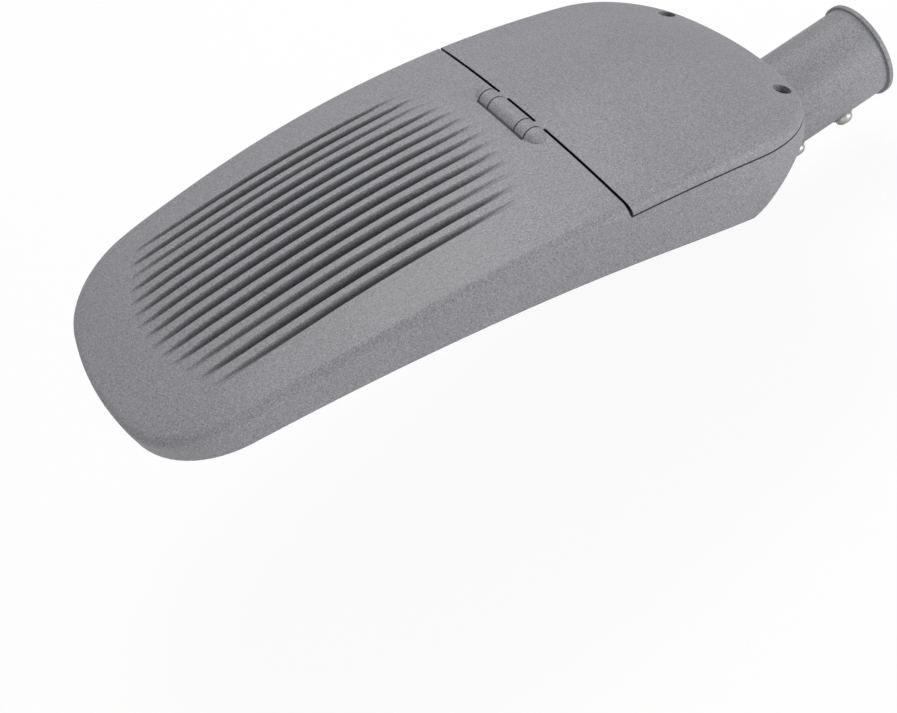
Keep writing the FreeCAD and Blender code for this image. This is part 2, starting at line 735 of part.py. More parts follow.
def housing(head):
    body = head.cut(groove_cutters())
    body = body.cut(above_parting(SEAM_X, parting_radius()))
    body = body.cut(hinge_pocket())
    body = body.fuse(spigot_form())
    body = body.cut([gear_bay(), fore_bay()])
    below_parting = head.cut(above_parting(SEAM_X, parting_radius()))
    bosses = []
    for place, away in cover_screw_places():
        bosses.append(rod(SCREW_BOSS_R, 90.0, place, away * -1.0).common(below_parting))
    for x, y in tray_screw_places():
        post = at_tray(rod(TRAY_POST_R, TRAY_POST_SINK, vec(x, y, -TRAY_POST_SINK), vec(0, 0, 1)))
        bosses.append(post.common(below_parting))
    body = body.fuse(bosses + hinge_barrel(head))
    holes = spigot_hollow() + window_hollows()
    for place, away in cover_screw_places():
        holes.append(rod(COVER_SCREW_R + SCREW_BOSS_CLEARANCE, 8.0 + SCREW_BOSS_DEPTH, place, away * -1.0))
    for x, y in tray_screw_places():
        base = vec(x, y, TRAY_T - TRAY_SCREW_LENGTH)
        holes.append(at_tray(rod(TRAY_SCREW_R, TRAY_SCREW_LENGTH, base, vec(0, 0, 1))))
    grip = knuckle_span()[1] + KNUCKLE_GAP + PIN_GRIP
    holes.append(hinge_rod(PIN_R, -grip, grip))
    start, way, length = lead_passage()
    holes.append(rod(PASSAGE_R, length, start, way))
    holes.append(rod(GROMMET_FLANGE_R, GROMMET_FLANGE_T + 4.0, start - way * 4.0, way))
    return body.cut(holes).removeSplitter()


# Cover of the gear compartment

def gear_cover(head):
    front = SEAM_X + SEAM_GAP
    zone = above_parting(front, parting_radius() + LIP_GAP)
    shell = head.common(zone)
    inside = drafted_column(COVER_FLANGE).common(below_top(COVER_SKIN))
    inside = inside.common(slab_from(front + COVER_FLANGE, PAST_REAR_X))
    body = shell.cut(inside)
    adds = []
    for place, away in cover_screw_places():
        boss = rod(SCREW_BOSS_R, 40.0, place - away * 2.0, away * -1.0)
        adds.append(boss.common(shell))
    start, end = knuckle_span()
    z = hinge_z()
    for side in (-1.0, 1.0):
        y0 = min(side * start, side * end)
        y1 = max(side * start, side * end)
        adds.append(hinge_rod(BARREL_R, y0, y1))
        adds.append(block(HINGE_X, front + 3.0, y0, y1, z - ARM_DEPTH, z + 30.0).common(head))
    body = body.fuse(adds)
    cuts = []
    for place, away in cover_screw_places():
        cuts.append(rod(SCREW_WELL_R, 20.0, place - away * SCREW_WELL_DEPTH, away))
        cuts.append(rod(COVER_SCREW_R + SCREW_HOLE_CLEARANCE, 40.0, place, away * -1.0))
    cuts.append(hinge_rod(PIN_R + PIN_CLEARANCE, -end - 1.0, end + 1.0))
    return body.cut(cuts).removeSplitter()


def cover_gasket():
    outer = drafted_column(GASKET_INSET)
    inner = drafted_column(GASKET_INSET + GASKET_WIDTH)
    front = SEAM_X + SEAM_GAP + GASKET_INSET - 1.0
    ring = outer.common(slab_from(front, PAST_REAR_X))
    ring = ring.cut(inner.common(slab_from(front + GASKET_WIDTH, PAST_REAR_X)))
    ring = ring.common(above_parting(front, parting_radius()))
    return ring.common(rod(parting_radius() + LIP_GAP, 2 * PAST_SIDE_Y, parting_centre(), vec(0, 1, 0)))


def hinge_pin():
    grip = knuckle_span()[1] + KNUCKLE_GAP + PIN_GRIP
    return hinge_rod(PIN_R, -grip, grip)


def cover_screws():
    screws = []
    for place, away in cover_screw_places():
        seat = place - away * SCREW_WELL_DEPTH
        head = rod(COVER_SCREW_HEAD_R, COVER_SCREW_HEAD_H, seat, away)
        shank = rod(COVER_SCREW_R, COVER_SCREW_LENGTH, seat, away * -1.0)
        screws.append(head.fuse(shank))
    return screws


def clamp_bolts():
    bolts = []
    way = clamp_way()
    seat = TUBE_R + CLAMP_PAD_STAND
    tip = BORE_R + CLAMP_TIP_IN
    edge = seat + CLAMP_HEAD_EDGE
    for x in CLAMP_BOLT_X:
        base = vec(x, 0, 0)
        head = rod(CLAMP_HEAD_R, CLAMP_HEAD_EDGE, base + way * seat, way)
        crown = Part.makeCone(CLAMP_HEAD_R, CLAMP_CROWN_R, CLAMP_DOME_H, base + way * edge, way)
        shank = rod(CLAMP_BOLT_R, seat - tip, base + way * tip, way)
        bolts.append(joined([head, crown, shank]))
    return bolts


# Light window

def frame_screw_places():
    x = FRAME_LENGTH / 2 - FRAME_SCREW_INSET
    y = FRAME_WIDTH / 2 - FRAME_SCREW_INSET
    side = [(a * FRAME_LENGTH * 0.29, b * y) for a in (-1.0, 1.0) for b in (-1.0, 1.0)]
    ends = [(a * x, b * FRAME_WIDTH * 0.24) for a in (-1.0, 1.0) for b in (-1.0, 1.0)]
    return side + ends


def board_centres():
    return (-BOARD_SPACING / 2.0, BOARD_SPACING / 2.0)


def lens_screw_places():
    places = []
    for cx in board_centres():
        for a in (-1.0, 1.0):
            for b in (-1.0, 1.0):
                places.append((cx + a * LENS_SCREW_X, b * LENS_SCREW_Y))
    return places


def window_frame():
    ring = round_plate(FRAME_LENGTH, FRAME_WIDTH, FRAME_CORNER_R, 0.0, FRAME_H)
    opening = round_plate(FRAME_OPENING_L, FRAME_OPENING_W, FRAME_OPENING_R, -1.0, FRAME_H)
    seat = round_plate(GLASS_LENGTH + 2 * GLASS_CLEARANCE, GLASS_WIDTH + 2 * GLASS_CLEARANCE,
                       GLASS_CORNER_R + GLASS_CLEARANCE, GLASS_SEAT, FRAME_H + 1.0)
    holes = []
    for x, y in frame_screw_places():
        holes.append(rod(FRAME_SCREW_R, FRAME_H + 2.0, vec(x, y, -1.0), vec(0, 0, 1)))
    return at_window(ring.cut([opening, seat] + holes))


def window_glass():
    top = GLASS_SEAT + GLASS_T
    return at_window(round_plate(GLASS_LENGTH, GLASS_WIDTH, GLASS_CORNER_R, GLASS_SEAT, top))


def window_gasket():
    low = GLASS_SEAT + GLASS_T
    ring = round_plate(GLASS_LENGTH, GLASS_WIDTH, GLASS_CORNER_R, low, FRAME_H)
    opening = round_plate(FRAME_OPENING_L, FRAME_OPENING_W, FRAME_OPENING_R, low - 1.0, FRAME_H + 1.0)
    return at_window(ring.cut(opening))


def frame_screws():
    screws = []
    for x, y in frame_screw_places():
        head = rod(FRAME_SCREW_HEAD_R, FRAME_SCREW_HEAD_H, vec(x, y, -FRAME_SCREW_HEAD_H), vec(0, 0, 1))
        shank = rod(FRAME_SCREW_R, FRAME_SCREW_LENGTH, vec(x, y, 0), vec(0, 0, 1))
        screws.append(at_window(head.fuse(shank)))
    return screws


def led_boards():
    boards = []
    for cx in board_centres():
        board = block(cx - BOARD_LENGTH / 2, cx + BOARD_LENGTH / 2, -BOARD_WIDTH / 2, BOARD_WIDTH / 2,
                      LAMP_BAY_TOP - BOARD_T, LAMP_BAY_TOP)
        holes = []
        for x, y in lens_screw_places():
            if abs(x - cx) < BOARD_LENGTH / 2:
                holes.append(rod(LENS_SCREW_R, 4.0, vec(x, y, LAMP_BAY_TOP - BOARD_T - 1.0), vec(0, 0, 1)))
        boards.append(at_window(board.cut(holes)))
    return boards


def lens_dome(x, y, z):
    # An eight-sided frustum, pointing down
    loops = []
    for radius, level in ((LENS_R, z), (LENS_TIP_R, z - LENS_DOME_H)):
        turns = [math.radians(45.0 * i + 22.5) for i in range(9)]
        points = [vec(x + radius * math.cos(a), y + radius * math.sin(a), level) for a in turns]
        loops.append(Part.makePolygon(points))
    return Part.makeLoft(loops, True, True)


def lens_points():
    points = []
    for cx in board_centres():
        for i in range(LENS_ROWS):
            for j in range(LENS_COLUMNS):
                x = cx + (i - (LENS_ROWS - 1) / 2.0) * LENS_PITCH_X
                y = (j - (LENS_COLUMNS - 1) / 2.0) * LENS_PITCH_Y
                points.append((cx, x, y))
    return points


def led_chips():
    top = LAMP_BAY_TOP - BOARD_T
    half = CHIP_SIZE / 2.0
    chips = []
    for cx, x, y in lens_points():
        chips.append(at_window(block(x - half, x + half, y - half, y + half, top - CHIP_T, top)))
    return chips


def lens_modules():
    top = LAMP_BAY_TOP - BOARD_T
    under = top - LENS_PLATE_STAND
    low = under - LENS_PLATE_T
    modules = []
    for cx in board_centres():
        x0 = cx - LENS_PLATE_L / 2
        x1 = cx + LENS_PLATE_L / 2
        y1 = LENS_PLATE_W / 2
        plate = block(x0, x1, -y1, y1, low, top)
        w = LENS_RIM_WIDTH
        plate = plate.cut(block(x0 + w, x1 - w, -y1 + w, y1 - w, under, top + 1.0))
        adds = []
        holes = []
        for x, y in lens_screw_places():
            if abs(x - cx) < LENS_PLATE_L / 2:
                adds.append(rod(LENS_PILLAR_R, top - low, vec(x, y, low), vec(0, 0, 1)))
                holes.append(rod(LENS_SCREW_R, 12.0, vec(x, y, low - 1.0), vec(0, 0, 1)))
        for centre, x, y in lens_points():
            if centre == cx:
                adds.append(lens_dome(x, y, low))
        modules.append(at_window(plate.fuse(adds).cut(holes).removeSplitter()))
    return modules


def lens_screws():
    low = LAMP_BAY_TOP - BOARD_T - LENS_PLATE_STAND - LENS_PLATE_T
    screws = []
    for x, y in lens_screw_places():
        head = rod(LENS_SCREW_HEAD_R, LENS_SCREW_HEAD_H, vec(x, y, low - LENS_SCREW_HEAD_H), vec(0, 0, 1))
        shank = rod(LENS_SCREW_R, LENS_SCREW_LENGTH, vec(x, y, low), vec(0, 0, 1))
        screws.append(at_window(head.fuse(shank)))
    return screws


# Gear tray

def tray_screw_places():
    x = TRAY_LENGTH / 2 - TRAY_SCREW_INSET
    y = TRAY_WIDTH / 2 - TRAY_SCREW_INSET
    return [(a * x, b * y) for a in (-1.0, 1.0) for b in (-1.0, 1.0)]


def driver_screw_places():
    y = DRIVER_LENGTH / 2 + DRIVER_FOOT / 2
    return [(DRIVER_X + a * DRIVER_WIDTH * 0.3, b * y) for a in (-1.0, 1.0) for b in (-1.0, 1.0)]


def grip_screw_places():
    return [(CORD_GRIP_X, CORD_GRIP_Y + a * CORD_GRIP_SCREW_Y) for a in (-1.0, 1.0)]


def gear_tray():
    plate = round_plate(TRAY_LENGTH, TRAY_WIDTH, TRAY_CORNER_R, 0.0, TRAY_T)
    holes = []
    for x, y in tray_screw_places():
        holes.append(rod(TRAY_SCREW_R, 6.0, vec(x, y, -2.0), vec(0, 0, 1)))
    for x, y in driver_screw_places() + grip_screw_places():
        holes.append(rod(SMALL_SCREW_R, 6.0, vec(x, y, -2.0), vec(0, 0, 1)))
    holes.append(rod(EARTH_SCREW_R, 6.0, vec(EARTH_SCREW_X, EARTH_SCREW_Y, -2.0), vec(0, 0, 1)))
    return at_tray(plate.cut(holes))


def tray_screws():
    screws = []
    for x, y in tray_screw_places():
        head = rod(TRAY_SCREW_HEAD_R, TRAY_SCREW_HEAD_H, vec(x, y, TRAY_T), vec(0, 0, 1))
        shank = rod(TRAY_SCREW_R, TRAY_SCREW_LENGTH, vec(x, y, TRAY_T - TRAY_SCREW_LENGTH), vec(0, 0, 1))
        screws.append(at_tray(head.fuse(shank)))
    return screws


def small_screw(x, y, seat, length):
    head = rod(SMALL_SCREW_HEAD_R, SMALL_SCREW_HEAD_H, vec(x, y, seat), vec(0, 0, 1))
    return at_tray(head.fuse(rod(SMALL_SCREW_R, length, vec(x, y, seat - length), vec(0, 0, 1))))


def led_driver():
    half_x = DRIVER_WIDTH / 2
    half_y = DRIVER_LENGTH / 2
    case = block(DRIVER_X - half_x, DRIVER_X + half_x, -half_y, half_y, TRAY_T, TRAY_T + DRIVER_H)
    top = [e for e in case.Edges if e.BoundBox.ZMin > TRAY_T + DRIVER_H - 0.1]
    case = case.makeFillet(DRIVER_EDGE_R, top)
    wide = half_y + DRIVER_FOOT
    feet = block(DRIVER_X - half_x, DRIVER_X + half_x, -wide, wide, TRAY_T, TRAY_T + DRIVER_FOOT_T)
    holes = []
    for x, y in driver_screw_places():
        holes.append(rod(SMALL_SCREW_R, 6.0, vec(x, y, 0), vec(0, 0, 1)))
    return at_tray(case.fuse(feet).cut(holes).removeSplitter())


def driver_screws():
    seat = TRAY_T + DRIVER_FOOT_T
    return [small_screw(x, y, seat, TRAY_T + DRIVER_FOOT_T + 1.0) for x, y in driver_screw_places()]


def surge_protector():
    half_x = SURGE_WIDTH / 2
    half_y = SURGE_LENGTH / 2
    top = TRAY_T + SURGE_H
    case = block(SURGE_X - half_x, SURGE_X + half_x, SURGE_Y - half_y, SURGE_Y + half_y, TRAY_T, top)
    top = [e for e in case.Edges if e.BoundBox.ZMin > TRAY_T + SURGE_H - 0.1]
    return at_tray(case.makeFillet(2.0, top))


def terminal_block():
    half_x = TERMINAL_WIDTH / 2
    half_y = TERMINAL_LENGTH / 2
    top = TRAY_T + TERMINAL_H
    y0 = TERMINAL_Y - half_y
    y1 = TERMINAL_Y + half_y
    case = block(TERMINAL_X - half_x, TERMINAL_X + half_x, y0, y1, TRAY_T, top)
    pitch = TERMINAL_LENGTH / TERMINAL_POLES
    cuts = []
    for i in range(TERMINAL_POLES):
        y = TERMINAL_Y - half_y + (i + 0.5) * pitch
        cuts.append(rod(2.6, 4.0, vec(TERMINAL_X, y, top - 4.0), vec(0, 0, 1)))
        for side in (-1.0, 1.0):
            x0 = TERMINAL_X + side * half_x
            x1 = x0 - side * 5.0
            low = TRAY_T + 5.0
            cuts.append(block(min(x0, x1), max(x0, x1), y - 2.4, y + 2.4, low, low + 5.0))
    return at_tray(case.cut(cuts))


def terminal_screws():
    top = TRAY_T + TERMINAL_H
    pitch = TERMINAL_LENGTH / TERMINAL_POLES
    screws = []
    for i in range(TERMINAL_POLES):
        y = TERMINAL_Y - TERMINAL_LENGTH / 2 + (i + 0.5) * pitch
        screw = rod(2.4, 2.0, vec(TERMINAL_X, y, top - 4.0), vec(0, 0, 1))
        slot = block(TERMINAL_X - 3.0, TERMINAL_X + 3.0, y - 0.4, y + 0.4, top - 2.8, top)
        screws.append(at_tray(screw.cut(slot)))
    return screws


def grip_half(z0, z1):
    half_x = CORD_GRIP_WIDTH / 2
    half_y = CORD_GRIP_LENGTH / 2
    y0 = CORD_GRIP_Y - half_y
    y1 = CORD_GRIP_Y + half_y
    part = block(CORD_GRIP_X - half_x, CORD_GRIP_X + half_x, y0, y1, z0, z1)
    start = vec(CORD_GRIP_X - 20.0, CORD_GRIP_Y, TRAY_T + CORD_GRIP_BASE_H)
    channel = rod(CORD_GRIP_R, 40.0, start, vec(1, 0, 0))
    holes = []
    for x, y in grip_screw_places():
        holes.append(rod(SMALL_SCREW_R, 30.0, vec(x, y, -5.0), vec(0, 0, 1)))
    return at_tray(part.cut([channel] + holes))


def cord_grip_base():
    return grip_half(TRAY_T, TRAY_T + CORD_GRIP_BASE_H)


def cord_grip_bar():
    low = TRAY_T + CORD_GRIP_BASE_H
    return grip_half(low, low + CORD_GRIP_BAR_H + 1.5)


def cord_grip_screws():
    seat = TRAY_T + CORD_GRIP_BASE_H + CORD_GRIP_BAR_H + 1.5
    return [small_screw(x, y, seat, seat + 1.0) for x, y in grip_screw_places()]


def earth_screw():
    place = vec(EARTH_SCREW_X, EARTH_SCREW_Y, TRAY_T)
    washer = rod(EARTH_WASHER_R, EARTH_WASHER_T, place, vec(0, 0, 1))
    head = hex_prism(EARTH_HEAD_FLATS, EARTH_HEAD_H, place + vec(0, 0, EARTH_WASHER_T), vec(0, 0, 1))
    shank = rod(EARTH_SCREW_R, TRAY_T + 1.5, place, vec(0, 0, -1))
    return at_tray(joined([washer, head, shank]))


# Cable entry

def cable_gland():
    wall = -BORE_DEPTH - STOP_WALL
    back = vec(-1, 0, 0)
    thread = rod(GLAND_THREAD_R, STOP_WALL, vec(wall, 0, 0), vec(1, 0, 0))
    collar = hex_prism(GLAND_HEX_FLATS, GLAND_HEX_H, vec(wall, 0, 0), back)
    cap = rod(GLAND_CAP_R, GLAND_CAP_H, vec(wall - GLAND_HEX_H, 0, 0), back)
    body = joined([thread, collar, cap])
    return body.cut(rod(GLAND_BORE_R, 60.0, vec(wall - 30.0, 0, 0), vec(1, 0, 0)))


def gland_nut():
    seat = -BORE_DEPTH - GLAND_NUT_H - 0.5
    nut = hex_prism(GLAND_HEX_FLATS - 1.0, GLAND_NUT_H, vec(seat, 0, 0), vec(1, 0, 0))
    return nut.cut(rod(GLAND_THREAD_R, GLAND_NUT_H + 2.0, vec(seat - 1.0, 0, 0), vec(1, 0, 0)))


def lead_grommet():
    start, way, length = lead_passage()
    flange = rod(GROMMET_FLANGE_R, GROMMET_FLANGE_T, start, way)
    stem = rod(PASSAGE_R, GROMMET_DEPTH, start, way)
    return flange.fuse(stem).removeSplitter().cut(rod(GROMMET_BORE_R, 40.0, start - way * 10.0, way))


def save(name, shape):
    if isinstance(shape, list):
        shape = Part.makeCompound(shape)
    shape.exportStep("parts/" + name + ".step")


os.makedirs("parts", exist_ok=True)
head = head_form()
save("housing", housing(head))
save("gear_cover", gear_cover(head))
save("cover_gasket", cover_gasket())
save("hinge_pin", hinge_pin())
save("cover_screws", cover_screws())
save("clamp_bolts", clamp_bolts())
save("window_frame", window_frame())
save("window_glass", window_glass())
save("window_gasket", window_gasket())
save("frame_screws", frame_screws())
save("led_boards", led_boards())
save("led_chips", led_chips())
save("lens_modules", lens_modules())
save("lens_screws", lens_screws())
save("gear_tray", gear_tray())
save("tray_screws", tray_screws())
save("led_driver", led_driver())
save("driver_screws", driver_screws())
save("surge_protector", surge_protector())
save("terminal_block", terminal_block())
save("terminal_screws", terminal_screws())
save("cord_grip_base", cord_grip_base())
save("cord_grip_bar", cord_grip_bar())
save("cord_grip_screws", cord_grip_screws())
save("earth_screw", earth_screw())
save("cable_gland", cable_gland())
save("gland_nut", gland_nut())
save("lead_grommet", lead_grommet())
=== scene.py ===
import math
import bmesh
import bpy
import numpy as np
from mathutils import Matrix, Vector


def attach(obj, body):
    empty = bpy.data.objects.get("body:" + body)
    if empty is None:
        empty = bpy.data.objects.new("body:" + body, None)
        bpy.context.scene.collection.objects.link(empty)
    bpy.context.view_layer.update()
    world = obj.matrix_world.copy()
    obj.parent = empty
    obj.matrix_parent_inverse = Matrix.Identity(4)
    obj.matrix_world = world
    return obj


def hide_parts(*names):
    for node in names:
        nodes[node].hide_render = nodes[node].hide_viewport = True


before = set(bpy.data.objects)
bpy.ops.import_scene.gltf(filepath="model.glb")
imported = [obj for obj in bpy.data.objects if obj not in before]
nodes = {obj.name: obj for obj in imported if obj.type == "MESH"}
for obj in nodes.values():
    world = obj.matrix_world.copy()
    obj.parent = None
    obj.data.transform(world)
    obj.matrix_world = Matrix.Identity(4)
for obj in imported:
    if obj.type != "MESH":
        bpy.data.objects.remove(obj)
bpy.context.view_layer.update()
scene = bpy.context.scene
print("frame loaded:", len(nodes), "nodes")


# Camera at the photograph's angle, in millimetres of the head's own frame

cameraView = {
    "place": (-506.48, -742.70, 706.37),
    "right": (0.82415, -0.46476, -0.32369),
    "up": (0.55261, 0.53459, 0.63940),
    "back": (-0.12413, -0.70584, 0.69741),
    "lens": 59.18, "sensor": 36.0,
    "nearest": 0.05,  # metres
}


def addCamera(view):
    data = bpy.data.cameras.new("photoCamera")
    data.lens = view["lens"]
    data.sensor_width = view["sensor"]
    data.clip_start = view["nearest"]
    camera = bpy.data.objects.new("photoCamera", data)
    turn = Matrix((view["right"], view["up"], view["back"])).transposed().to_4x4()
    camera.matrix_world = Matrix.Translation(Vector(view["place"]) * 0.001) @ turn
    scene.collection.objects.link(camera)
    scene.camera = camera


addCamera(cameraView)
print("camera set")


# The head's top: its line from the side, and the crown across it, in millimetres

topShape = {
    "apex": (-449.0, 142.2),  # x and z of the highest point
    # Arcs from the apex outwards: first x, last x, radius
    "toNose": ((-449.0, -500.0, 2000.0), (-500.0, -598.0, 350.0)),
    "toRear": ((-449.0, -165.0, 980.0), (-165.0, -68.6, 245.0)),
    "crownRadius": 904.0,
}


# Shader helpers

def newMaterial(name):
    material = bpy.data.materials.new(name)
    material.use_nodes = True
    tree = material.node_tree
    tree.nodes.clear()
    output = tree.nodes.new("ShaderNodeOutputMaterial")
    shader = tree.nodes.new("ShaderNodeBsdfPrincipled")
    tree.links.new(shader.outputs["BSDF"], output.inputs["Surface"])
    return material, tree, shader


def newGroup(name, inputs, outputs):
    group = bpy.data.node_groups.new(name, "ShaderNodeTree")
    for label, kind, value in inputs:
        socket = group.interface.new_socket(label, in_out="INPUT", socket_type=kind)
        socket.default_value = value
    for label, kind in outputs:
        group.interface.new_socket(label, in_out="OUTPUT", socket_type=kind)
    return group, group.nodes.new("NodeGroupInput"), group.nodes.new("NodeGroupOutput")


def feed(tree, value, socket):
    # A number is set on the socket, and an output is linked to it
    if isinstance(value, (int, float)):
        socket.default_value = value
    else:
        tree.links.new(value, socket)


def mathNode(tree, operation, a, b=None):
    node = tree.nodes.new("ShaderNodeMath")
    node.operation = operation
    feed(tree, a, node.inputs[0])
    if b is not None:
        feed(tree, b, node.inputs[1])
    return node.outputs[0]


def scaleNode(tree, vector, factor):
    node = tree.nodes.new("ShaderNodeVectorMath")
    node.operation = "SCALE"
    feed(tree, vector, node.inputs[0])
    feed(tree, factor, node.inputs["Scale"])
    return node.outputs["Vector"]


def noiseNode(tree, vector, scale, detail=2.0, rough=0.5):
    node = tree.nodes.new("ShaderNodeTexNoise")
    node.inputs["Detail"].default_value = detail
    node.inputs["Roughness"].default_value = rough
    feed(tree, vector, node.inputs["Vector"])
    feed(tree, scale, node.inputs["Scale"])
    return node.outputs["Fac"]


def groupNode(tree, group, values):
    node = tree.nodes.new("ShaderNodeGroup")
    node.node_tree = group
    for label, value in values.items():
        node.inputs[label].default_value = value
    return node.outputs


# Grain of a sprayed finish

grainShares = {"coarseSize": 0.45, "coarse": 0.25, "wideSize": 9.0, "wide": 0.12, "coarseHeight": 0.6}


def makeCoatGroup(shares):
    # Fine noise and shares of a coarse and a wide one, each less its middle, are summed. The colour is scaled
    # by 1 + speckle * sum, the coarse noise spreads the roughness, and the bump is fine + share * coarse
    tree, given, result = newGroup(
        "coatGrain",
        [("Colour", "NodeSocketColor", (0.3, 0.3, 0.3, 1.0)), ("Speckle", "NodeSocketFloat", 0.1),
         ("Grain size", "NodeSocketFloat", 1500.0), ("Rough", "NodeSocketFloat", 0.6),
         ("Rough spread", "NodeSocketFloat", 0.1)],
        [("Colour", "NodeSocketColor"), ("Roughness", "NodeSocketFloat"), ("Height", "NodeSocketFloat")])
    size = given.outputs["Grain size"]
    place = tree.nodes.new("ShaderNodeTexCoord").outputs["Object"]
    fine = noiseNode(tree, place, size, 3.0, 0.65)
    coarse = noiseNode(tree, place, mathNode(tree, "MULTIPLY", size, shares["coarseSize"]), 2.0)
    wide = noiseNode(tree, place, shares["wideSize"], 3.0)

    def shareOf(noise, share):
        return mathNode(tree, "MULTIPLY", mathNode(tree, "SUBTRACT", noise, 0.5), share)

    mixed = mathNode(tree, "SUBTRACT", fine, 0.5)
    mixed = mathNode(tree, "ADD", mixed, shareOf(coarse, shares["coarse"]))
    mixed = mathNode(tree, "ADD", mixed, shareOf(wide, shares["wide"]))
    gain = mathNode(tree, "ADD", mathNode(tree, "MULTIPLY", mixed, given.outputs["Speckle"]), 1.0)
    rough = mathNode(tree, "ADD", given.outputs["Rough"], shareOf(coarse, given.outputs["Rough spread"]))
    height = mathNode(tree, "ADD", fine, mathNode(tree, "MULTIPLY", coarse, shares["coarseHeight"]))
    tree.links.new(scaleNode(tree, given.outputs["Colour"], gain), result.inputs["Colour"])
    tree.links.new(rough, result.inputs["Roughness"])
    tree.links.new(height, result.inputs["Height"])
    return tree


coatGrain = makeCoatGroup(grainShares)


# Painted shade in the gaps round the cover and its hinge, in millimetres

gapPlaces = {
    "knuckleSides": (17.4, 29.4), "byHinge": (-276.4, -258.6), "hingeAbove": 113.0,
    "barrelFront": -275.9, "barrelHalf": 1.3,
    "frontSeam": (-260.4, -258.0), "frontTop": 123.3, "frontDepth": 6.5,
    "sideSeam": (-259.5, -92.0), "sideDepth": 16.49,  # under the top line
    "fade": 1.25,
}


def makeGapGroup(gaps, top):
    # A line's shade is fade - |distance| / half width, and never below nothing. It lies over both sides of
    # each knuckle, along the barrel's front, and over the side seam, an arc under the top's own. The front
    # seam darkens with its depth in millimetres under the crown, front height - y^2 / (2 * crown radius)
    tree, given, result = newGroup(
        "gapShade",
        [("Knuckle", "NodeSocketFloat", 0.5), ("Side seam", "NodeSocketFloat", 1.0)],
        [("Shade", "NodeSocketFloat")])
    apart = tree.nodes.new("ShaderNodeSeparateXYZ")
    place = tree.nodes.new("ShaderNodeTexCoord").outputs["Object"]
    tree.links.new(scaleNode(tree, place, 1000.0), apart.inputs[0])
    x, y, z = apart.outputs["X"], mathNode(tree, "ABSOLUTE", apart.outputs["Y"]), apart.outputs["Z"]

    def lineAt(value, middle, half):
        distance = mathNode(tree, "ABSOLUTE", mathNode(tree, "SUBTRACT", value, middle))
        shade = mathNode(tree, "SUBTRACT", gaps["fade"], mathNode(tree, "DIVIDE", distance, half))
        return mathNode(tree, "MAXIMUM", shade, 0.0)

    def within(value, span):
        return mathNode(tree, "MULTIPLY", mathNode(tree, "GREATER_THAN", value, span[0]),
                        mathNode(tree, "LESS_THAN", value, span[1]))

    def squared(value):
        return mathNode(tree, "MULTIPLY", value, value)

    # Each line is painted shade, darkening the coat's colour over a gap
    inner, outer = (lineAt(y, side, given.outputs["Knuckle"]) for side in gaps["knuckleSides"])
    front = mathNode(tree, "MULTIPLY", lineAt(x, gaps["barrelFront"], gaps["barrelHalf"]),
                     mathNode(tree, "LESS_THAN", y, gaps["knuckleSides"][1]))
    byHinge = mathNode(tree, "MULTIPLY", within(x, gaps["byHinge"]),
                       mathNode(tree, "GREATER_THAN", z, gaps["hingeAbove"]))
    hinge = mathNode(tree, "MAXIMUM", mathNode(tree, "MAXIMUM", inner, outer), front)
    hinge = mathNode(tree, "MULTIPLY", hinge, byHinge)

    crown = mathNode(tree, "DIVIDE", squared(y), 2 * top["crownRadius"])
    down = mathNode(tree, "SUBTRACT", mathNode(tree, "SUBTRACT", gaps["frontTop"], crown), z)
    seam = mathNode(tree, "MULTIPLY", mathNode(tree, "MAXIMUM", down, 0.0), within(x, gaps["frontSeam"]))
    seam = mathNode(tree, "MULTIPLY", seam, mathNode(tree, "LESS_THAN", down, gaps["frontDepth"]))

    arcRadius = top["toRear"][0][2]
    along = mathNode(tree, "SUBTRACT", x, top["apex"][0])
    upward = mathNode(tree, "SUBTRACT", z, top["apex"][1] - arcRadius)
    radius = mathNode(tree, "SQRT", mathNode(tree, "ADD", squared(along), squared(upward)))
    side = lineAt(radius, arcRadius - gaps["sideDepth"], given.outputs["Side seam"])
    side = mathNode(tree, "MULTIPLY", side, within(x, gaps["sideSeam"]))

    most = mathNode(tree, "MAXIMUM", mathNode(tree, "MAXIMUM", hinge, seam), side)
    tree.links.new(mathNode(tree, "MINIMUM", most, 1.0), result.inputs["Shade"])
    return tree


gapShade = makeGapGroup(gapPlaces, topShape)


# Finishes

def shadeHollows(tree, colour, look):
    # Painted shade: a groove's floor and a gap are darkened in the colour, which is scaled by 1 - the larger
    # of the depth kept on the mesh and the gap's shade, each times its share
    depth = tree.nodes.new("ShaderNodeAttribute")
    depth.attribute_name = "grooveDepth"
    gaps = groupNode(tree, gapShade, {"Knuckle": look["knuckleHalf"], "Side seam": look["seamHalf"]})
    inGroove = mathNode(tree, "MULTIPLY", depth.outputs["Fac"], look["grooveShade"])
    inGap = mathNode(tree, "MULTIPLY", gaps["Shade"], look["gapShade"])
    share = mathNode(tree, "MAXIMUM", inGroove, inGap)
    return scaleNode(tree, colour, mathNode(tree, "SUBTRACT", 1.0, share))


def coatMaterial(name, look):
    material, tree, shader = newMaterial(name)
    grain = groupNode(tree, coatGrain, {
        "Colour": (*look["colour"], 1.0), "Speckle": look["speckle"], "Grain size": look["grainSize"],
        "Rough": look["rough"], "Rough spread": look["roughSpread"]})
    bump = tree.nodes.new("ShaderNodeBump")
    bump.inputs["Strength"].default_value = look["bump"]
    bump.inputs["Distance"].default_value = look["bumpDepth"]
    tree.links.new(grain["Height"], bump.inputs["Height"])
    colour = shadeHollows(tree, grain["Colour"], look) if "grooveShade" in look else grain["Colour"]
    tree.links.new(colour, shader.inputs["Base Color"])
    tree.links.new(grain["Roughness"], shader.inputs["Roughness"])
    tree.links.new(bump.outputs["Normal"], shader.inputs["Normal"])
    shader.inputs["Metallic"].default_value = look.get("metal", 0.0)
    return material


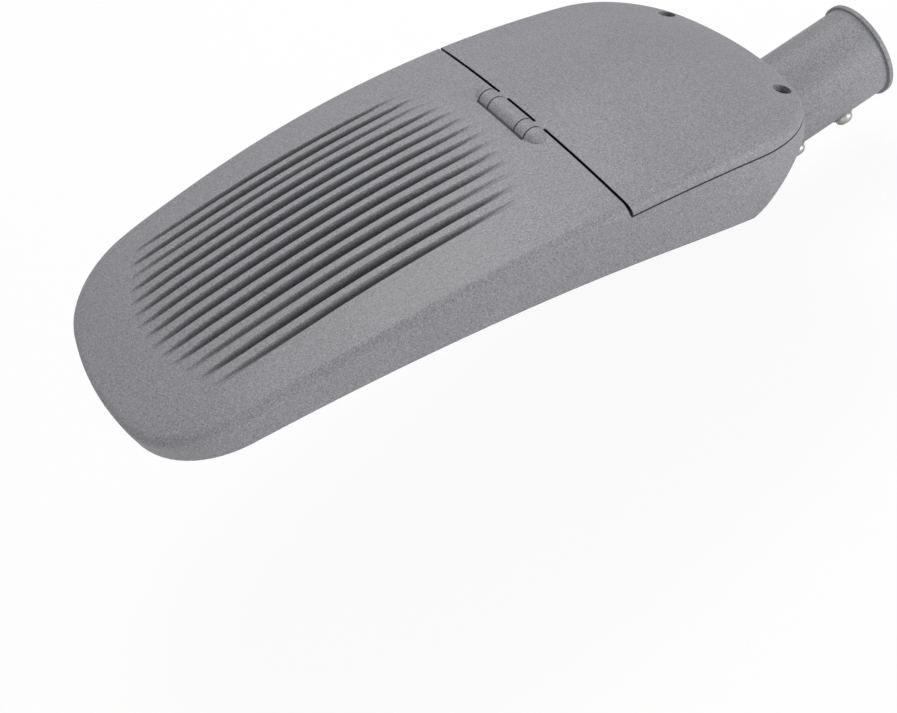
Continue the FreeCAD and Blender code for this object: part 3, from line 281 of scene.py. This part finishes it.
plainMetal = {"speckle": 0.15, "grainSize": 900.0, "roughSpread": 0.2, "bump": 0.1, "bumpDepth": 0.00005,
              "metal": 1.0}
mattPlastic = {"speckle": 0.3, "grainSize": 1400.0, "rough": 0.5, "roughSpread": 0.15, "bump": 0.25,
               "bumpDepth": 0.0001}
finishes = {
    # The powder coat's grooveShade and gapShade are the shares of painted shade in its grooves and gaps
    "powderCoat": {"colour": (0.238, 0.239, 0.254), "speckle": 2.4, "grainSize": 1250.0, "rough": 0.54,
                   "roughSpread": 0.25, "bump": 0.35, "bumpDepth": 0.0002, "grooveShade": 0.83,
                   "gapShade": 0.95, "knuckleHalf": 0.85, "seamHalf": 0.9},
    # The cover screws' steel, darkened as painted shade of the deep wells they sit in
    "wellShadedSteel": {**plainMetal, "colour": (0.09, 0.09, 0.09), "speckle": 0.2, "rough": 0.45},
    "zincPlate": {**plainMetal, "colour": (0.52, 0.52, 0.50), "rough": 0.5},
    "stainless": {**plainMetal, "colour": (0.55, 0.55, 0.54), "rough": 0.3},
    "brass": {**plainMetal, "colour": (0.72, 0.50, 0.20), "speckle": 0.12, "rough": 0.3},
    "zincSheet": {**plainMetal, "colour": (0.48, 0.49, 0.50), "speckle": 0.35, "grainSize": 160.0,
                  "rough": 0.42, "roughSpread": 0.3},
    "driverCase": {"colour": (0.34, 0.35, 0.36), "speckle": 0.5, "grainSize": 1300.0, "rough": 0.6,
                   "roughSpread": 0.15, "bump": 0.3, "bumpDepth": 0.0001, "metal": 0.6},
    "blackRubber": {"colour": (0.022, 0.022, 0.023), "speckle": 0.4, "grainSize": 1200.0, "rough": 0.75,
                    "roughSpread": 0.2, "bump": 0.3, "bumpDepth": 0.0001},
    "boardWhite": {"colour": (0.78, 0.78, 0.76), "speckle": 0.06, "grainSize": 900.0, "rough": 0.45,
                   "roughSpread": 0.1, "bump": 0.1, "bumpDepth": 0.00005},
    "ledPhosphor": {"colour": (0.80, 0.58, 0.10), "speckle": 0.1, "grainSize": 3000.0, "rough": 0.4,
                    "roughSpread": 0.1, "bump": 0.1, "bumpDepth": 0.00003},
    "darkPlastic": {**mattPlastic, "colour": (0.03, 0.03, 0.032)},
    "paleNylon": {**mattPlastic, "colour": (0.56, 0.55, 0.50), "speckle": 0.1, "grainSize": 900.0,
                  "bump": 0.15},
}
materials = {name: coatMaterial(name, look) for name, look in finishes.items()}


def glassMaterial(name, look):
    # Clear, with a roughness that wanders a little over the piece
    material, tree, shader = newMaterial(name)
    grain = groupNode(tree, coatGrain, {"Grain size": look["grainSize"], "Rough": look["rough"],
                                        "Rough spread": look["rough"]})
    tree.links.new(grain["Roughness"], shader.inputs["Roughness"])
    shader.inputs["Base Color"].default_value = (*look["tint"], 1.0)
    shader.inputs["IOR"].default_value = look["ior"]
    shader.inputs["Transmission Weight"].default_value = 1.0
    return material


clearFinishes = {
    "windowGlass": {"tint": (0.95, 0.975, 0.965), "rough": 0.01, "ior": 1.5, "grainSize": 60.0},
    "lensPlastic": {"tint": (0.97, 0.975, 0.98), "rough": 0.04, "ior": 1.49, "grainSize": 60.0},
}
for name, look in clearFinishes.items():
    materials[name] = glassMaterial(name, look)


# What each carried-over piece is dressed in

dressed = {
    "powderCoat": ["housing", "gear_cover", "window_frame"],
    "zincPlate": ["clamp_bolts"],
    "stainless": ["hinge_pin", "cover_screws", "frame_screws", "lens_screws", "tray_screws", "driver_screws",
                  "cord_grip_screws"],
    "blackRubber": ["cover_gasket", "window_gasket", "lead_grommet"],
    "windowGlass": ["window_glass"],
    "boardWhite": ["led_boards"],
    "ledPhosphor": ["led_chips"],
    "lensPlastic": ["lens_modules"],
    "zincSheet": ["gear_tray"],
    "driverCase": ["led_driver"],
    "darkPlastic": ["surge_protector", "cable_gland", "gland_nut"],
    "paleNylon": ["terminal_block", "cord_grip_base", "cord_grip_bar"],
    "brass": ["terminal_screws", "earth_screw"],
}
for finish, names in dressed.items():
    for name in names:
        mesh = nodes[name].data
        mesh.materials.clear()
        mesh.materials.append(materials[finish])
print("materials set")


# Meshes and pieces, with their points in millimetres

mergeReach = 2e-6  # metres


def addPiece(name, mesh, body, finish):
    mesh.materials.clear()
    mesh.materials.append(materials[finish])
    piece = bpy.data.objects.new(name, mesh)
    scene.collection.objects.link(piece)
    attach(piece, body)
    return piece


def gridMesh(name, points, closed=False):
    # A sheet from rows of points; a closed one joins the last column to the first
    rows, columns = points.shape[:2]
    index = np.arange(rows * columns).reshape(rows, columns)
    if closed:
        index = np.concatenate([index, index[:, :1]], axis=1)
    quads = np.stack([index[:-1, :-1], index[1:, :-1], index[1:, 1:], index[:-1, 1:]], axis=-1).reshape(-1, 4)
    return meshFrom(name, points.reshape(-1, 3), quads)


def meshFrom(name, points, quads):
    mesh = bpy.data.meshes.new(name)
    mesh.vertices.add(len(points))
    placeVertices(mesh, points)
    mesh.loops.add(quads.size)
    mesh.loops.foreach_set("vertex_index", quads.astype(np.int32).ravel())
    mesh.polygons.add(len(quads))
    mesh.polygons.foreach_set("loop_start", np.arange(0, quads.size, quads.shape[1], dtype=np.int32))
    mesh.update()
    return mesh


def readVectors(source, key):
    values = np.empty(len(source) * 3, np.float32)
    source.foreach_get(key, values)
    return values.reshape(-1, 3)


def vertexPlaces(mesh):
    return readVectors(mesh.vertices, "co") * 1000.0


def placeVertices(mesh, points):
    mesh.vertices.foreach_set("co", (points * 0.001).astype(np.float32).ravel())


def cornerVertices(mesh):
    corner = np.empty(len(mesh.loops), np.int32)
    mesh.loops.foreach_get("vertex_index", corner)
    return corner


def edited(mesh, change):
    # The change is made on an open copy of the mesh, which is then written back
    work = bmesh.new()
    work.from_mesh(mesh)
    work.faces.ensure_lookup_table()
    change(work)
    work.to_mesh(mesh)
    work.free()
    return mesh


def joined(meshes):
    # The first mesh takes in the others, which are removed
    work = bmesh.new()
    for mesh in meshes:
        work.from_mesh(mesh)
    work.to_mesh(meshes[0])
    work.free()
    for mesh in meshes[1:]:
        bpy.data.meshes.remove(mesh)
    return meshes[0]


def smoothed(mesh, degrees):
    mesh.polygons.foreach_set("use_smooth", np.ones(len(mesh.polygons), bool))
    mesh.set_sharp_from_angle(angle=math.radians(degrees))
    return mesh


# The head's cooling grooves, in millimetres

grooveShape = {
    "count": 14, "pitch": 12.15, "middle": -416.0, "halfLength": 129.0, "endBow": 21.0,
    "depth": 8.0, "outerDepth": 5.2, "thirdDepth": 4.6,
    "floorHalf": 1.1, "flare": 0.24, "edgeRound": 1.1, "endRound": 1.2,
    "corner": (-553.4, -86.4), "farCorner": (-280.6, 86.4), "steps": (92, 371), "lap": 0.4,
    "slopeStep": 0.04, "shadeBend": 0.8,
}
# Holds every face of the grooves
grooveZone = {"under": 9.5, "rear": -270.0, "side": 100.0, "facing": -0.2}


def topArcs(shape):
    # Centre, radius and lowest and highest angle from upright of each arc of the top line
    arcs = []
    for way, steps in ((-1.0, shape["toNose"]), (1.0, shape["toRear"])):
        z, slope = shape["apex"][1], 0.0
        for start, end, radius in steps:
            centre = (start - way * radius * math.sin(slope), z - radius * math.cos(slope))
            steeper = math.asin(math.sin(slope) + abs(end - start) / radius)
            arcs.append((*centre, radius, min(way * slope, way * steeper), max(way * slope, way * steeper)))
            z = centre[1] + radius * math.cos(steeper)
            slope = steeper
    return arcs


headArcs = topArcs(topShape)


def topSurface(x, y):
    # A crowned section carried round each arc: height, and the normal that leans with both curves
    x, y = np.broadcast_arrays(np.asarray(x, float), np.asarray(y, float))
    crown = topShape["crownRadius"]
    upright = np.sqrt(crown ** 2 - y ** 2)
    nearest = np.full(x.shape, 9.0)
    height = np.zeros(x.shape)
    normal = np.zeros(x.shape + (3,))
    for cx, cz, radius, low, high in headArcs:
        own = radius - crown + upright
        angle = np.arcsin(np.clip((x - cx) / own, -1.0, 1.0))
        outside = np.maximum(np.maximum(low - angle, angle - high), 0.0)
        closer = outside < nearest
        nearest = np.where(closer, outside, nearest)
        height = np.where(closer, cz + own * np.cos(angle), height)
        lean = np.stack([np.sin(angle) * upright, y, np.cos(angle) * upright], axis=-1) / crown
        normal = np.where(closer[..., None], lean, normal)
    return height, normal


def softAbove(value, width):
    # The larger of the value and nothing, with the corner rounded over the width
    blend = np.clip(value / width + 0.5, 0.0, 1.0)
    return blend * value + 0.5 * width * blend * (1.0 - blend)


def grooveFloors(shape):
    # For each groove its middle line and the flat arc through both ends and its deepest point
    floors = []
    last = shape["count"] - 1
    for i in range(shape["count"]):
        y = (i - last / 2) * shape["pitch"]
        depth = {0: shape["outerDepth"], 2: shape["thirdDepth"]}.get(min(i, last - i), shape["depth"])
        half = shape["halfLength"] - shape["endBow"] * (2 * i / last - 1) ** 2
        ends = np.array([shape["middle"] - half, shape["middle"], shape["middle"] + half])
        levels = topSurface(ends, np.full(3, y))[0] - np.array([0.0, depth, 0.0])
        floors.append((y, np.polyfit(ends, levels, 2)))
    return floors


def groovedTop(x, y):
    # The top less, within each groove, its depth above the floor times a smooth step across the wall
    shape = grooveShape
    height = topSurface(x, y)[0]
    lowered = height.copy()
    for middle, floor in headFloors:
        depth = softAbove(height - np.polyval(floor, x), shape["endRound"])
        reach = shape["floorHalf"] + shape["flare"] * depth + shape["edgeRound"]
        share = np.clip((reach - np.abs(y - middle)) / (reach - shape["floorHalf"]), 0.0, 1.0)
        lowered = np.minimum(lowered, height - depth * share * share * (3.0 - 2.0 * share))
    return lowered


headFloors = grooveFloors(grooveShape)


def heldCopy(name):
    # A merged copy of a CAD node's mesh that keeps its corner normals as an attribute
    mesh = nodes[name].data.copy()
    normals = np.empty(len(mesh.loops) * 3, np.float32)
    mesh.corner_normals.foreach_get("vector", normals)
    mesh.attributes.new("heldNormal", "FLOAT_VECTOR", "CORNER").data.foreach_set("vector", normals)
    return edited(mesh, lambda work: bmesh.ops.remove_doubles(work, verts=work.verts, dist=mergeReach))


def topFaces(mesh):
    # Which faces belong to the grooved part of the top, and their middles
    centre = readVectors(mesh.polygons, "center") * 1000.0
    top = topSurface(centre[:, 0], centre[:, 1])[0]
    chosen = ((centre[:, 2] > top - grooveZone["under"]) & (centre[:, 0] < grooveZone["rear"])
              & (np.abs(centre[:, 1]) < grooveZone["side"])
              & (readVectors(mesh.polygons, "normal")[:, 2] > grooveZone["facing"]))
    return chosen, centre


def cutOpening(mesh, low, high):
    # Cuts the top's faces along a rectangle and takes out what lies inside it
    for axis, value in ((0, low[0]), (0, high[0]), (1, low[1]), (1, high[1])):
        chosen = np.nonzero(topFaces(mesh)[0])[0]
        place, across = np.zeros(3), np.zeros(3)
        place[axis], across[axis] = value * 0.001, 1.0

        def cutAcross(work):
            faces = [work.faces[i] for i in chosen]
            edges = list({e for f in faces for e in f.edges})
            verts = list({v for f in faces for v in f.verts})
            whole = verts + edges + faces
            bmesh.ops.bisect_plane(work, geom=whole, dist=1e-7, plane_co=place, plane_no=across)

        edited(mesh, cutAcross)
    chosen, centre = topFaces(mesh)
    chosen &= (centre[:, 0] > low[0]) & (centre[:, 0] < high[0]) & (np.abs(centre[:, 1]) < high[1])
    gone = np.nonzero(chosen)[0]
    edited(mesh, lambda work: bmesh.ops.delete(work, geom=[work.faces[i] for i in gone], context="FACES"))


topFit = {"off": 0.15, "lean": 0.93}


def trueTopNormals(mesh, fit):
    # Corners that lie on the top take its exact normal, the others keep their own
    held = readVectors(mesh.attributes["heldNormal"].data, "vector")
    place = vertexPlaces(mesh)[cornerVertices(mesh)]
    height, normal = topSurface(place[:, 0], place[:, 1])
    onTop = (np.abs(place[:, 2] - height) < fit["off"]) & (np.sum(held * normal, axis=1) > fit["lean"])
    held[onTop] = normal[onTop]
    mesh.attributes.remove(mesh.attributes["heldNormal"])
    return held


def setNormals(mesh, normals):
    mesh.polygons.foreach_set("use_smooth", np.ones(len(mesh.polygons), bool))
    mesh.normals_split_custom_set(normals.astype(np.float32))


hingeMound = {"axisX": -268.0, "reachX": 7.5, "start": 29.45, "reach": 7.4, "stretch": 1.55, "tail": 24.0,
              "under": 0.3}


def stretchMounds(mesh, look):
    # The barrel's ball ends are drawn out along y: within the reach y grows by the stretch, and over the tail
    # the growth fades to nothing; each point keeps its rise above the top
    place = vertexPlaces(mesh)
    rise = place[:, 2] - topSurface(place[:, 0], place[:, 1])[0]
    past = np.abs(place[:, 1]) - look["start"]
    near = (np.abs(place[:, 0] - look["axisX"]) < look["reachX"]) & (past > 0) & (rise > -look["under"])
    grown = np.clip(past, 0, look["reach"]) * (look["stretch"] - 1)
    grown *= 1 - np.clip((past - look["reach"]) / look["tail"], 0, 1)
    place[near, 1] += (np.sign(place[:, 1]) * grown)[near]
    place[near, 2] = (topSurface(place[:, 0], place[:, 1])[0] + rise)[near]
    placeVertices(mesh, place)
    held = readVectors(mesh.attributes["heldNormal"].data, "vector")
    held[(near & (past < look["reach"]))[cornerVertices(mesh)], 1] /= look["stretch"]
    held /= np.linalg.norm(held, axis=1, keepdims=True)
    mesh.attributes["heldNormal"].data.foreach_set("vector", held.ravel())


def makeGroovePanel(shape):
    # The grooved top over the opening; its normal is (-slope along x, -slope along y, 1) at unit length
    low, high = shape["corner"], shape["farCorner"]
    x = np.linspace(low[0], high[0], shape["steps"][0])[:, None]
    y = np.linspace(low[1], high[1], shape["steps"][1])[None, :]
    panel = gridMesh("groovePanel", np.stack(np.broadcast_arrays(x, y, groovedTop(x, y)), axis=-1))
    step = shape["slopeStep"]
    slopeX = (groovedTop(x + step, y) - groovedTop(x - step, y)) / (2 * step)
    slopeY = (groovedTop(x, y + step) - groovedTop(x, y - step)) / (2 * step)
    normal = np.stack([-slopeX, -slopeY, np.ones_like(slopeX)], axis=-1)
    normal /= np.linalg.norm(normal, axis=-1, keepdims=True)
    return panel, normal.reshape(-1, 3)[cornerVertices(panel)]


def makeHousingSkin(shape):
    # The casting with its grooved part exchanged for the panel; each panel point keeps its groove's depth, as
    # (depth / deepest) ^ bend, the share of painted shade in the groove's colour
    mesh = heldCopy("housing")
    stretchMounds(mesh, hingeMound)
    lap = shape["lap"]
    low, high = shape["corner"], shape["farCorner"]
    cutOpening(mesh, (low[0] + lap, low[1] + lap), (high[0] - lap, high[1] - lap))
    normals = trueTopNormals(mesh, topFit)
    panel, panelNormals = makeGroovePanel(shape)
    panelSize = len(panel.vertices)
    joined([mesh, panel])
    setNormals(mesh, np.concatenate([normals, panelNormals]))
    place = vertexPlaces(mesh)
    below = (topSurface(place[:, 0], place[:, 1])[0] - place[:, 2]) / shape["depth"]
    depth = np.clip(below, 0.0, 1.0) ** shape["shadeBend"]
    depth[:-panelSize] = 0.0
    # Painted shade for the grooves, kept on the mesh and read by the powder coat's colour
    attribute = mesh.attributes.new("grooveDepth", "FLOAT", "POINT")
    attribute.data.foreach_set("value", depth.astype(np.float32))
    mesh.name = "housingSkin"
    return mesh


housingSkin = addPiece("housingSkin", makeHousingSkin(grooveShape), "head", "powderCoat")
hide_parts("housing")
coverMesh = heldCopy("gear_cover")
setNormals(coverMesh, trueTopNormals(coverMesh, topFit))
coverSkin = addPiece("coverSkin", coverMesh, "cover", "powderCoat")
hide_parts("gear_cover")
print("housing and cover skins made")


# Screws and bolts: each set is one mesh, turned about its own axes

windowPlace = {"place": (-425.0, 103.4), "tilt": math.radians(4.5)}
trayPlace = {"place": (-184.0, 45.0), "tilt": math.radians(18.0)}


def inFrame(own, x, y, z):
    # The window and the tray have frames of their own, which lean about y and stand at their place
    c, s = math.cos(own["tilt"]), math.sin(own["tilt"])
    return (own["place"][0] + x * c + z * s, y, own["place"][1] - x * s + z * c)


def upOf(own):
    return np.array([math.sin(own["tilt"]), 0.0, math.cos(own["tilt"])])


def mirrored(x, y):
    return [(a * x, b * y) for a in (-1, 1) for b in (-1, 1)]


coverUp = (0.299, 0.0, 0.9542)
clampDown = np.array([0.0, -math.sqrt(0.5), -math.sqrt(0.5)])
clampSeat = 34.7  # from the spigot's middle line
screwEdge = {"chamfer": 0.4, "bevel": 0.1, "lip": 0.35, "domeSteps": 7, "mouthDrop": 0.15, "mouth": 0.97,
             "floor": 0.95, "point": 1.12, "smooth": 32.0}

# Head: radius, edge height, dome radius upwards. Recess: kind, half width, depth. Shank: radius, length
screwSets = {
    "clamp_bolts": {
        "name": "clampBoltSet", "body": "head", "finish": "zincPlate", "slot": "zinc_steel",
        "way": clampDown, "places": [clampSeat * clampDown + (x, 0.0, 0.0) for x in (-39.5, -83.0)],
        "head": (6.6, 1.0, 4.3), "recess": ("hex", 1.7, 1.8), "shank": (4.0, 2.8), "sides": 72},
    "cover_screws": {
        # Their finish is steel darkened as painted shade of their wells
        "name": "coverScrewSet", "body": "cover", "finish": "wellShadedSteel", "slot": "stainless",
        "way": coverUp, "places": [(-110.16, y, 66.19) for y in (-66.485, 66.485)],
        "head": (4.6, 1.5, 1.25), "recess": ("hex", 2.3, 2.2), "shank": (2.5, 11.0), "sides": 72},
    "frame_screws": {
        "name": "frameScrewSet", "body": "head", "finish": "stainless", "slot": "stainless",
        "way": -upOf(windowPlace),
        "places": [inFrame(windowPlace, x, y, 0.0) for x, y in mirrored(69.6, 88.0) + mirrored(113.0, 45.6)],
        "head": (3.8, 0.7, 1.65), "recess": ("hex", 1.9, 1.5), "shank": (2.0, 12.0), "sides": 48},
    "lens_screws": {
        "name": "lensScrewSet", "body": "head", "finish": "stainless", "slot": "stainless",
        "way": -upOf(windowPlace),
        "places": [inFrame(windowPlace, c + x, y, 13.8) for c in (-48.0, 48.0)
                   for x, y in mirrored(40.0, 64.0)],
        "head": (2.8, 0.5, 1.25), "recess": ("cross", 1.7, 1.0), "shank": (1.5, 10.0), "sides": 32},
    "tray_screws": {
        "name": "trayScrewSet", "body": "head", "finish": "stainless", "slot": "stainless",
        "way": upOf(trayPlace), "places": [inFrame(trayPlace, x, y, 2.0) for x, y in mirrored(42.0, 72.0)],
        "head": (3.8, 0.9, 1.6), "recess": ("cross", 2.3, 1.5), "shank": (2.0, 8.0), "sides": 48},
    "driver_screws": {
        "name": "driverScrewSet", "body": "head", "finish": "stainless", "slot": "stainless",
        "way": upOf(trayPlace),
        "places": [inFrame(trayPlace, x - 22.0, y, 4.0) for x, y in mirrored(16.8, 62.5)],
        "head": (3.2, 0.7, 1.4), "recess": ("cross", 2.0, 1.3), "shank": (1.5, 5.0), "sides": 48},
    "cord_grip_screws": {
        "name": "gripScrewSet", "body": "head", "finish": "stainless", "slot": "stainless",
        "way": upOf(trayPlace), "places": [inFrame(trayPlace, 43.0, y, 14.0) for y in (-9.5, 13.5)],
        "head": (3.2, 0.7, 1.4), "recess": ("cross", 2.0, 1.3), "shank": (1.5, 15.0), "sides": 48},
    "terminal_screws": {
        "name": "terminalScrewSet", "body": "head", "finish": "brass", "slot": "brass_metal",
        "way": upOf(trayPlace), "places": [inFrame(trayPlace, 28.0, -63.2 + 9.6 * i, 17.0) for i in range(5)],
        "head": (2.4, 1.4, 0.5), "recess": ("cross", 1.5, 0.9), "shank": (1.2, 0.1), "sides": 32},
}


def screwMesh(name, look, edges):
    # Rows of (radius, height, share) around the axis; the share bends a row's circle to the recess:
    # six flats, cos 30 / cos(angle from the nearest flat's middle), or four lobes, 0.42 + 0.58 |cos 2a|^3
    reach, edge, dome = look["head"]
    kind, opening, deep = look["recess"]
    thick, length = look["shank"]
    chamfer, bevel, steps = edges["chamfer"], edges["bevel"], edges["domeSteps"]
    last = math.acos((opening + edges["lip"]) / reach)
    rim = edge + dome * math.sin(last)
    rows = [(0.0, -length, 0), (thick - chamfer, -length, 0), (thick, chamfer - length, 0), (thick, 0.0, 0),
            (reach - bevel, 0.0, 0), (reach, bevel, 0), (reach, edge, 0)]
    rows += [(reach * math.cos(last * k / steps), edge + dome * math.sin(last * k / steps), 0)
             for k in range(1, steps + 1)]
    rows += [(opening, rim, 1), (opening * edges["mouth"], rim - edges["mouthDrop"], 1),
             (opening * edges["floor"], rim - deep, 1), (0.0, rim - deep * edges["point"], 1)]
    radius, height, share = np.array(rows, float).T[:, :, None]
    turn = np.linspace(0.0, 2 * math.pi, look["sides"], endpoint=False)
    flats = math.cos(math.pi / 6) / np.cos((turn + math.pi / 6) % (math.pi / 3) - math.pi / 6)
    lobes = 0.42 + 0.58 * np.abs(np.cos(2 * turn)) ** 3
    radius = radius * (1 + share * ((flats if kind == "hex" else lobes) - 1))
    way = np.array(look["way"])
    side = np.cross(way, (0.0, 1.0, 0.0)) if abs(way[1]) < 0.5 else np.cross(way, (1.0, 0.0, 0.0))
    side /= np.linalg.norm(side)
    up = np.cross(way, side)
    form = ((radius * np.cos(turn))[..., None] * side + (radius * np.sin(turn))[..., None] * up
            + (height + 0 * turn)[..., None] * way)

    def closeUp(work):
        bmesh.ops.remove_doubles(work, verts=work.verts, dist=mergeReach)
        bmesh.ops.recalc_face_normals(work, faces=work.faces)

    mesh = joined([gridMesh(name, form + np.array(place), closed=True) for place in look["places"]])
    return smoothed(edited(mesh, closeUp), edges["smooth"])


for node, look in screwSets.items():
    mesh = screwMesh(look["name"], look, screwEdge)
    piece = addPiece(look["name"], mesh, look["body"], look["finish"])
    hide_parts(node)
print("screws made")


# Lens plates, in the light window's own frame

lensShape = {
    "centres": (-48.0, 48.0), "half": (45.0, 68.0), "low": 13.8, "high": 18.4, "top": 16.0, "rim": 2.5,
    "pitch": (26.0, 20.0), "count": (3, 6), "radius": 8.5, "rise": 3.2, "dimple": 0.4, "dimpleWidth": 2.6,
    "steps": (91, 137), "smooth": 40.0,
}


def makeLensPlates(look):
    # Under each LED the plate bulges by rise * sqrt(1 - (r / radius)^2) * (1 - dimple * exp(-(r / width)^2))
    halfX, halfY = look["half"]
    pitchX, pitchY = look["pitch"]
    columns, rows = (count // 2 for count in look["count"])
    x = np.linspace(-halfX, halfX, look["steps"][0])[:, None]
    y = np.linspace(-halfY, halfY, look["steps"][1])[None, :]
    nearX = np.clip(np.round(x / pitchX), -columns, columns) * pitchX
    nearY = (np.clip(np.floor(y / pitchY), -rows, rows - 1) + 0.5) * pitchY
    r = np.hypot(x - nearX, y - nearY)
    bulge = look["rise"] * np.sqrt(np.clip(1 - (r / look["radius"]) ** 2, 0, 1))
    bulge = bulge * (1 - look["dimple"] * np.exp(-(r / look["dimpleWidth"]) ** 2))
    edge = [(-halfX, -halfY), (halfX, -halfY), (halfX, halfY), (-halfX, halfY)]
    inner = [(a - math.copysign(look["rim"], a), b - math.copysign(look["rim"], b)) for a, b in edge]
    rings = [(edge, look["low"]), (edge, look["high"]), (inner, look["high"]), (inner, look["top"])]
    sheets = []
    for centre in look["centres"]:
        for level in (look["low"] - bulge, np.full(r.shape, look["top"])):
            flat = np.broadcast_arrays(x + centre, y, level)
            sheets.append(gridMesh("lensPlates", np.stack(inFrame(windowPlace, *flat), axis=-1)))
        walls = [[inFrame(windowPlace, a + centre, b, level) for a, b in ring] for ring, level in rings]
        sheets.append(gridMesh("lensPlates", np.array(walls), closed=True))
    return smoothed(joined(sheets), look["smooth"])


lensPlates = addPiece("lensPlates", makeLensPlates(lensShape), "head", "lensPlastic")
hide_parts("lens_modules")
print("lens plates made")


# Floor, world and lamps, in metres

studio = {
    "floorZ": -0.075, "floorSize": 12.0, "floorColour": (0.9, 0.9, 0.9), "floorGlow": 0.92,
    "worldStrength": 0.5,
    "lamps": {
        "farSideTop": {"place": (0.05, 0.8, 1.6), "aim": (-0.3, 0.0, 0.05), "size": 1.0, "watts": 19.5},
        "poleSide": {"place": (0.95, -1.4, 0.3), "aim": (-0.3, 0.0, 0.05), "size": 0.9, "watts": 17.0},
        "noseSide": {"place": (-1.5, -1.3, 0.35), "aim": (-0.35, 0.0, 0.08), "size": 0.9, "watts": 5.5},
        "nearTop": {"place": (-0.55, -1.05, 1.05), "aim": (-0.3, 0.0, 0.08), "size": 0.3, "watts": 1.0},
    },
}


def addFloor(setup):
    # A pale floor that glows to the camera's rays only; from below it is clear, so that the underside shows
    half, level = setup["floorSize"] / 2, setup["floorZ"]
    mesh = bpy.data.meshes.new("floor")
    corners = [(-half, -half, level), (half, -half, level), (half, half, level), (-half, half, level)]
    mesh.from_pydata(corners, [], [(0, 1, 2, 3)])
    floor = bpy.data.objects.new("floor", mesh)
    scene.collection.objects.link(floor)
    material = bpy.data.materials.new("paleFloor")
    material.use_nodes = True
    tree = material.node_tree
    tree.nodes.clear()
    output = tree.nodes.new("ShaderNodeOutputMaterial")
    paint = tree.nodes.new("ShaderNodeBsdfDiffuse")
    paint.inputs["Color"].default_value = (*setup["floorColour"], 1.0)
    glow = tree.nodes.new("ShaderNodeEmission")
    path = tree.nodes.new("ShaderNodeLightPath")
    clear = tree.nodes.new("ShaderNodeBsdfTransparent")
    facing = tree.nodes.new("ShaderNodeNewGeometry")
    lit, seen = tree.nodes.new("ShaderNodeMixShader"), tree.nodes.new("ShaderNodeMixShader")
    share = mathNode(tree, "MULTIPLY", path.outputs["Is Camera Ray"], setup["floorGlow"])
    tree.links.new(share, lit.inputs["Fac"])
    tree.links.new(paint.outputs["BSDF"], lit.inputs[1])
    tree.links.new(glow.outputs["Emission"], lit.inputs[2])
    tree.links.new(facing.outputs["Backfacing"], seen.inputs["Fac"])
    tree.links.new(lit.outputs["Shader"], seen.inputs[1])
    tree.links.new(clear.outputs["BSDF"], seen.inputs[2])
    tree.links.new(seen.outputs["Shader"], output.inputs["Surface"])
    mesh.materials.append(material)


def addWorld(strength):
    # White where the camera or glass looks at it, and the plain strength as light
    world = bpy.data.worlds.new("studio")
    scene.world = world
    world.use_nodes = True
    tree = world.node_tree
    tree.nodes.clear()
    output = tree.nodes.new("ShaderNodeOutputWorld")
    background = tree.nodes.new("ShaderNodeBackground")
    path = tree.nodes.new("ShaderNodeLightPath")
    seen = mathNode(tree, "MAXIMUM", path.outputs["Is Camera Ray"], path.outputs["Is Transmission Ray"])
    extra = mathNode(tree, "MULTIPLY", seen, 1.0 - strength)
    tree.links.new(mathNode(tree, "ADD", extra, strength), background.inputs["Strength"])
    tree.links.new(background.outputs["Background"], output.inputs["Surface"])


def addLamp(name, look):
    data = bpy.data.lights.new(name, "AREA")
    data.shape = "DISK"
    data.size = look["size"]
    data.energy = look["watts"]
    lamp = bpy.data.objects.new(name, data)
    turn = (Vector(look["aim"]) - Vector(look["place"])).to_track_quat("-Z", "Y")
    lamp.matrix_world = Matrix.Translation(look["place"]) @ turn.to_matrix().to_4x4()
    scene.collection.objects.link(lamp)


addFloor(studio)
addWorld(studio["worldStrength"])
for name, look in studio["lamps"].items():
    addLamp(name, look)
scene.view_settings.view_transform = "Standard"
print("studio set")
